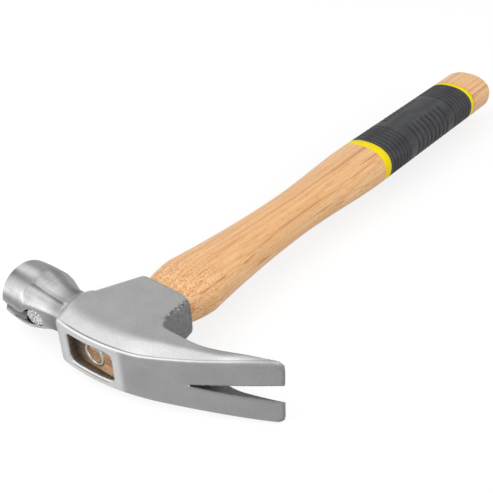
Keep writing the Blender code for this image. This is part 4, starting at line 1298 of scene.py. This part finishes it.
def handle_wood():
    """Clear-lacquered hardwood, speckled where the shoulder cuts its grain, and darkened by painted shade
    at the end grain.
    """
    paint = Paint(bpy.data.materials.new("wood_handle"))
    colour, height = lengthwise_grain(paint)
    along = paint.axis("Y")
    speckle = paint.noise((1500.0, 900.0, 1500.0), 3.0, 0.6)
    at_shoulder = paint.remap(along, SHOULDER_END, (1.0, 0.0))
    colour = paint.tint(colour, SHOULDER_SPECK, speckle, (0.52, 0.62), share=0.85, where=at_shoulder)
    colour = paint.tint(colour, SHOULDER_FLECK, speckle, (0.44, 0.36), share=0.40, where=at_shoulder)

    shade = paint.noise(110.0, 2.0, 0.5, shift=(0.0, 0.0, 3.0))
    end_colour = paint.two_tone(END_TONES, shade, (0.38, 0.60))
    end_colour = paint.tint(end_colour, END_PORE, paint.noise(*END_GRAIN), (0.5, 0.7), share=0.6)
    at_end = paint.remap(along, END_GRAIN_END, (1.0, 0.0))
    # End grain, with painted shade towards the poll's side of the eye
    colour = paint.mix_colours(at_end, colour, shaded_in_eye(paint, end_colour))
    rough = paint.remap(height, (0.1, 0.8), (0.58, 0.42))
    return paint.dress(colour, rough, height, depth=0.00012, Coat_Weight=0.25, Coat_Roughness=0.3)


def wedge_wood():
    """Darker, unlacquered wood with its end grain outward."""
    paint = Paint(bpy.data.materials.new("wood_wedge"))
    ends = paint.noise(*END_GRAIN)
    end_colour = paint.two_tone(WEDGE_TONES, ends, (0.35, 0.65))
    colour = paint.mix_colours(WEDGE_END_SHARE, lengthwise_grain(paint)[0], end_colour)
    rough = paint.sway(ends, (0.6, 0.8))
    # with painted shade on the end grain towards the poll's side of the eye
    return paint.dress(shaded_in_eye(paint, colour), rough, ends, depth=0.0002)


def grip_rubber():
    """Dark moulded rubber: a fine matt grain, painted shade in the grooves and a few specks of dust."""
    paint = Paint(bpy.data.materials.new("rubber_grip"))
    grain = paint.noise(2200.0, 4.0, 0.6)
    specks = paint.noise(620.0, 2.0, 0.5, shift=(1860.0, 620.0, 1240.0))
    cloud = paint.noise((150.0, 60.0, 150.0), 3.0, 0.5)
    colour = paint.two_tone(RUBBER_TONES, cloud, (0.35, 0.65))
    # Painted shade in the grooves, by their depth
    colour = paint.tint(colour, RUBBER_GROOVE_SHADE, paint.zone("groove"), (0.25, 0.9), share=0.85)
    colour = paint.tint(colour, RUBBER_DUST, specks, (0.74, 0.80), share=0.5)
    rough = paint.sway(grain, (0.46, 0.66))
    return paint.dress(colour, rough, grain, depth=0.00010, Specular_IOR_Level=0.35)


def band_plastic():
    """Bright moulded plastic with a faint orange-peel skin."""
    paint = Paint(bpy.data.materials.new("plastic_band"))
    peel = paint.noise(1500.0, 3.0, 0.5)
    colour = paint.two_tone(BAND_TONES, paint.noise(160.0, 3.0, 0.5), NOISE_RANGE)
    rough = paint.sway(peel, (0.38, 0.52))
    return paint.dress(colour, rough, peel, depth=0.00006, Specular_IOR_Level=0.15)


# Studio


def seen_directly(paint):
    """1 for rays from the camera, and for those that a mirror or glass sends on."""
    path = paint.tree.nodes.new("ShaderNodeLightPath").outputs
    both = paint.maths("MAXIMUM", path["Is Camera Ray"], path["Is Glossy Ray"])
    return paint.maths("MAXIMUM", both, path["Is Transmission Ray"])


def make_world():
    """White surroundings that light the hammer less than they look."""
    paint = Paint(bpy.data.worlds.new("studio"))
    strength = paint.mix(seen_directly(paint), WORLD_LIGHT, 1.0)
    paint.feed(paint.tree.nodes["Background"], {"Color": (1.0, 1.0, 1.0, 1.0), "Strength": strength})
    bpy.context.scene.world = paint.owner


def make_floor():
    """A pale floor that looks white, also far from the lamps, and keeps the hammer's soft shadow."""
    corners = rectangle(FLOOR_HALF_SIZE, FLOOR_HALF_SIZE)
    mesh = bpy.data.meshes.new("floor")
    mesh.from_pydata([(x, y, -FLOOR_DROP) for x, y in corners], [], [(0, 1, 2, 3)])
    paint = Paint(bpy.data.materials.new("floor_white"))
    distance = paint.add("VectorMath", {0: paint.place()}, "Value", operation="LENGTH")
    glow = paint.remap(distance, FLOOR_GLOW_CHANGE, FLOOR_GLOWS)
    emission = paint.add("Emission", {"Strength": paint.times(seen_directly(paint), glow)})
    diffuse = paint.add("BsdfDiffuse", {"Color": FLOOR_COLOUR})
    both = paint.add("AddShader", {0: diffuse, 1: emission})
    paint.tree.nodes.remove(paint.tree.nodes["Principled BSDF"])
    paint.feed(paint.tree.nodes["Material Output"], {"Surface": both})
    mesh.materials.append(paint.owner)
    floor = link_object("floor", mesh)


def make_lamp(name, place, target, side, power):
    lamp = bpy.data.lights.new(name, "AREA")
    lamp.size = side
    lamp.energy = power
    obj = link_object(name, lamp)
    obj.location = place
    obj.rotation_euler = (Vector(target) - Vector(place)).to_track_quat("-Z", "Y").to_euler()


def make_camera():
    camera = link_object("camera", bpy.data.cameras.new("camera"))
    heading = Matrix.Rotation(CAMERA_AZIMUTH, 4, "Z")
    tilt = Matrix.Rotation(0.5 * math.pi - CAMERA_ELEVATION, 4, "X")
    roll = Matrix.Rotation(CAMERA_ROLL, 4, "Z")
    camera.matrix_world = Matrix.Translation(PLACE + Vector(CAMERA_PLACE)) @ heading @ tilt @ roll
    camera.data.lens = CAMERA_LENS
    camera.data.clip_start = CAMERA_CLIP
    bpy.context.scene.camera = camera


def main():
    make_head(head_steel())
    make_magnet(magnet_metal())
    make_handle(handle_wood())
    make_wooden_wedge(wedge_wood())
    make_ring_wedge(ring_steel())
    make_bands(band_plastic())
    make_sleeve(grip_rubber())

    make_world()
    make_floor()
    for name, lamp in LAMPS.items():
        make_lamp(name, *lamp)
    make_camera()
    bpy.context.scene.view_settings.view_transform = "Standard"


main()
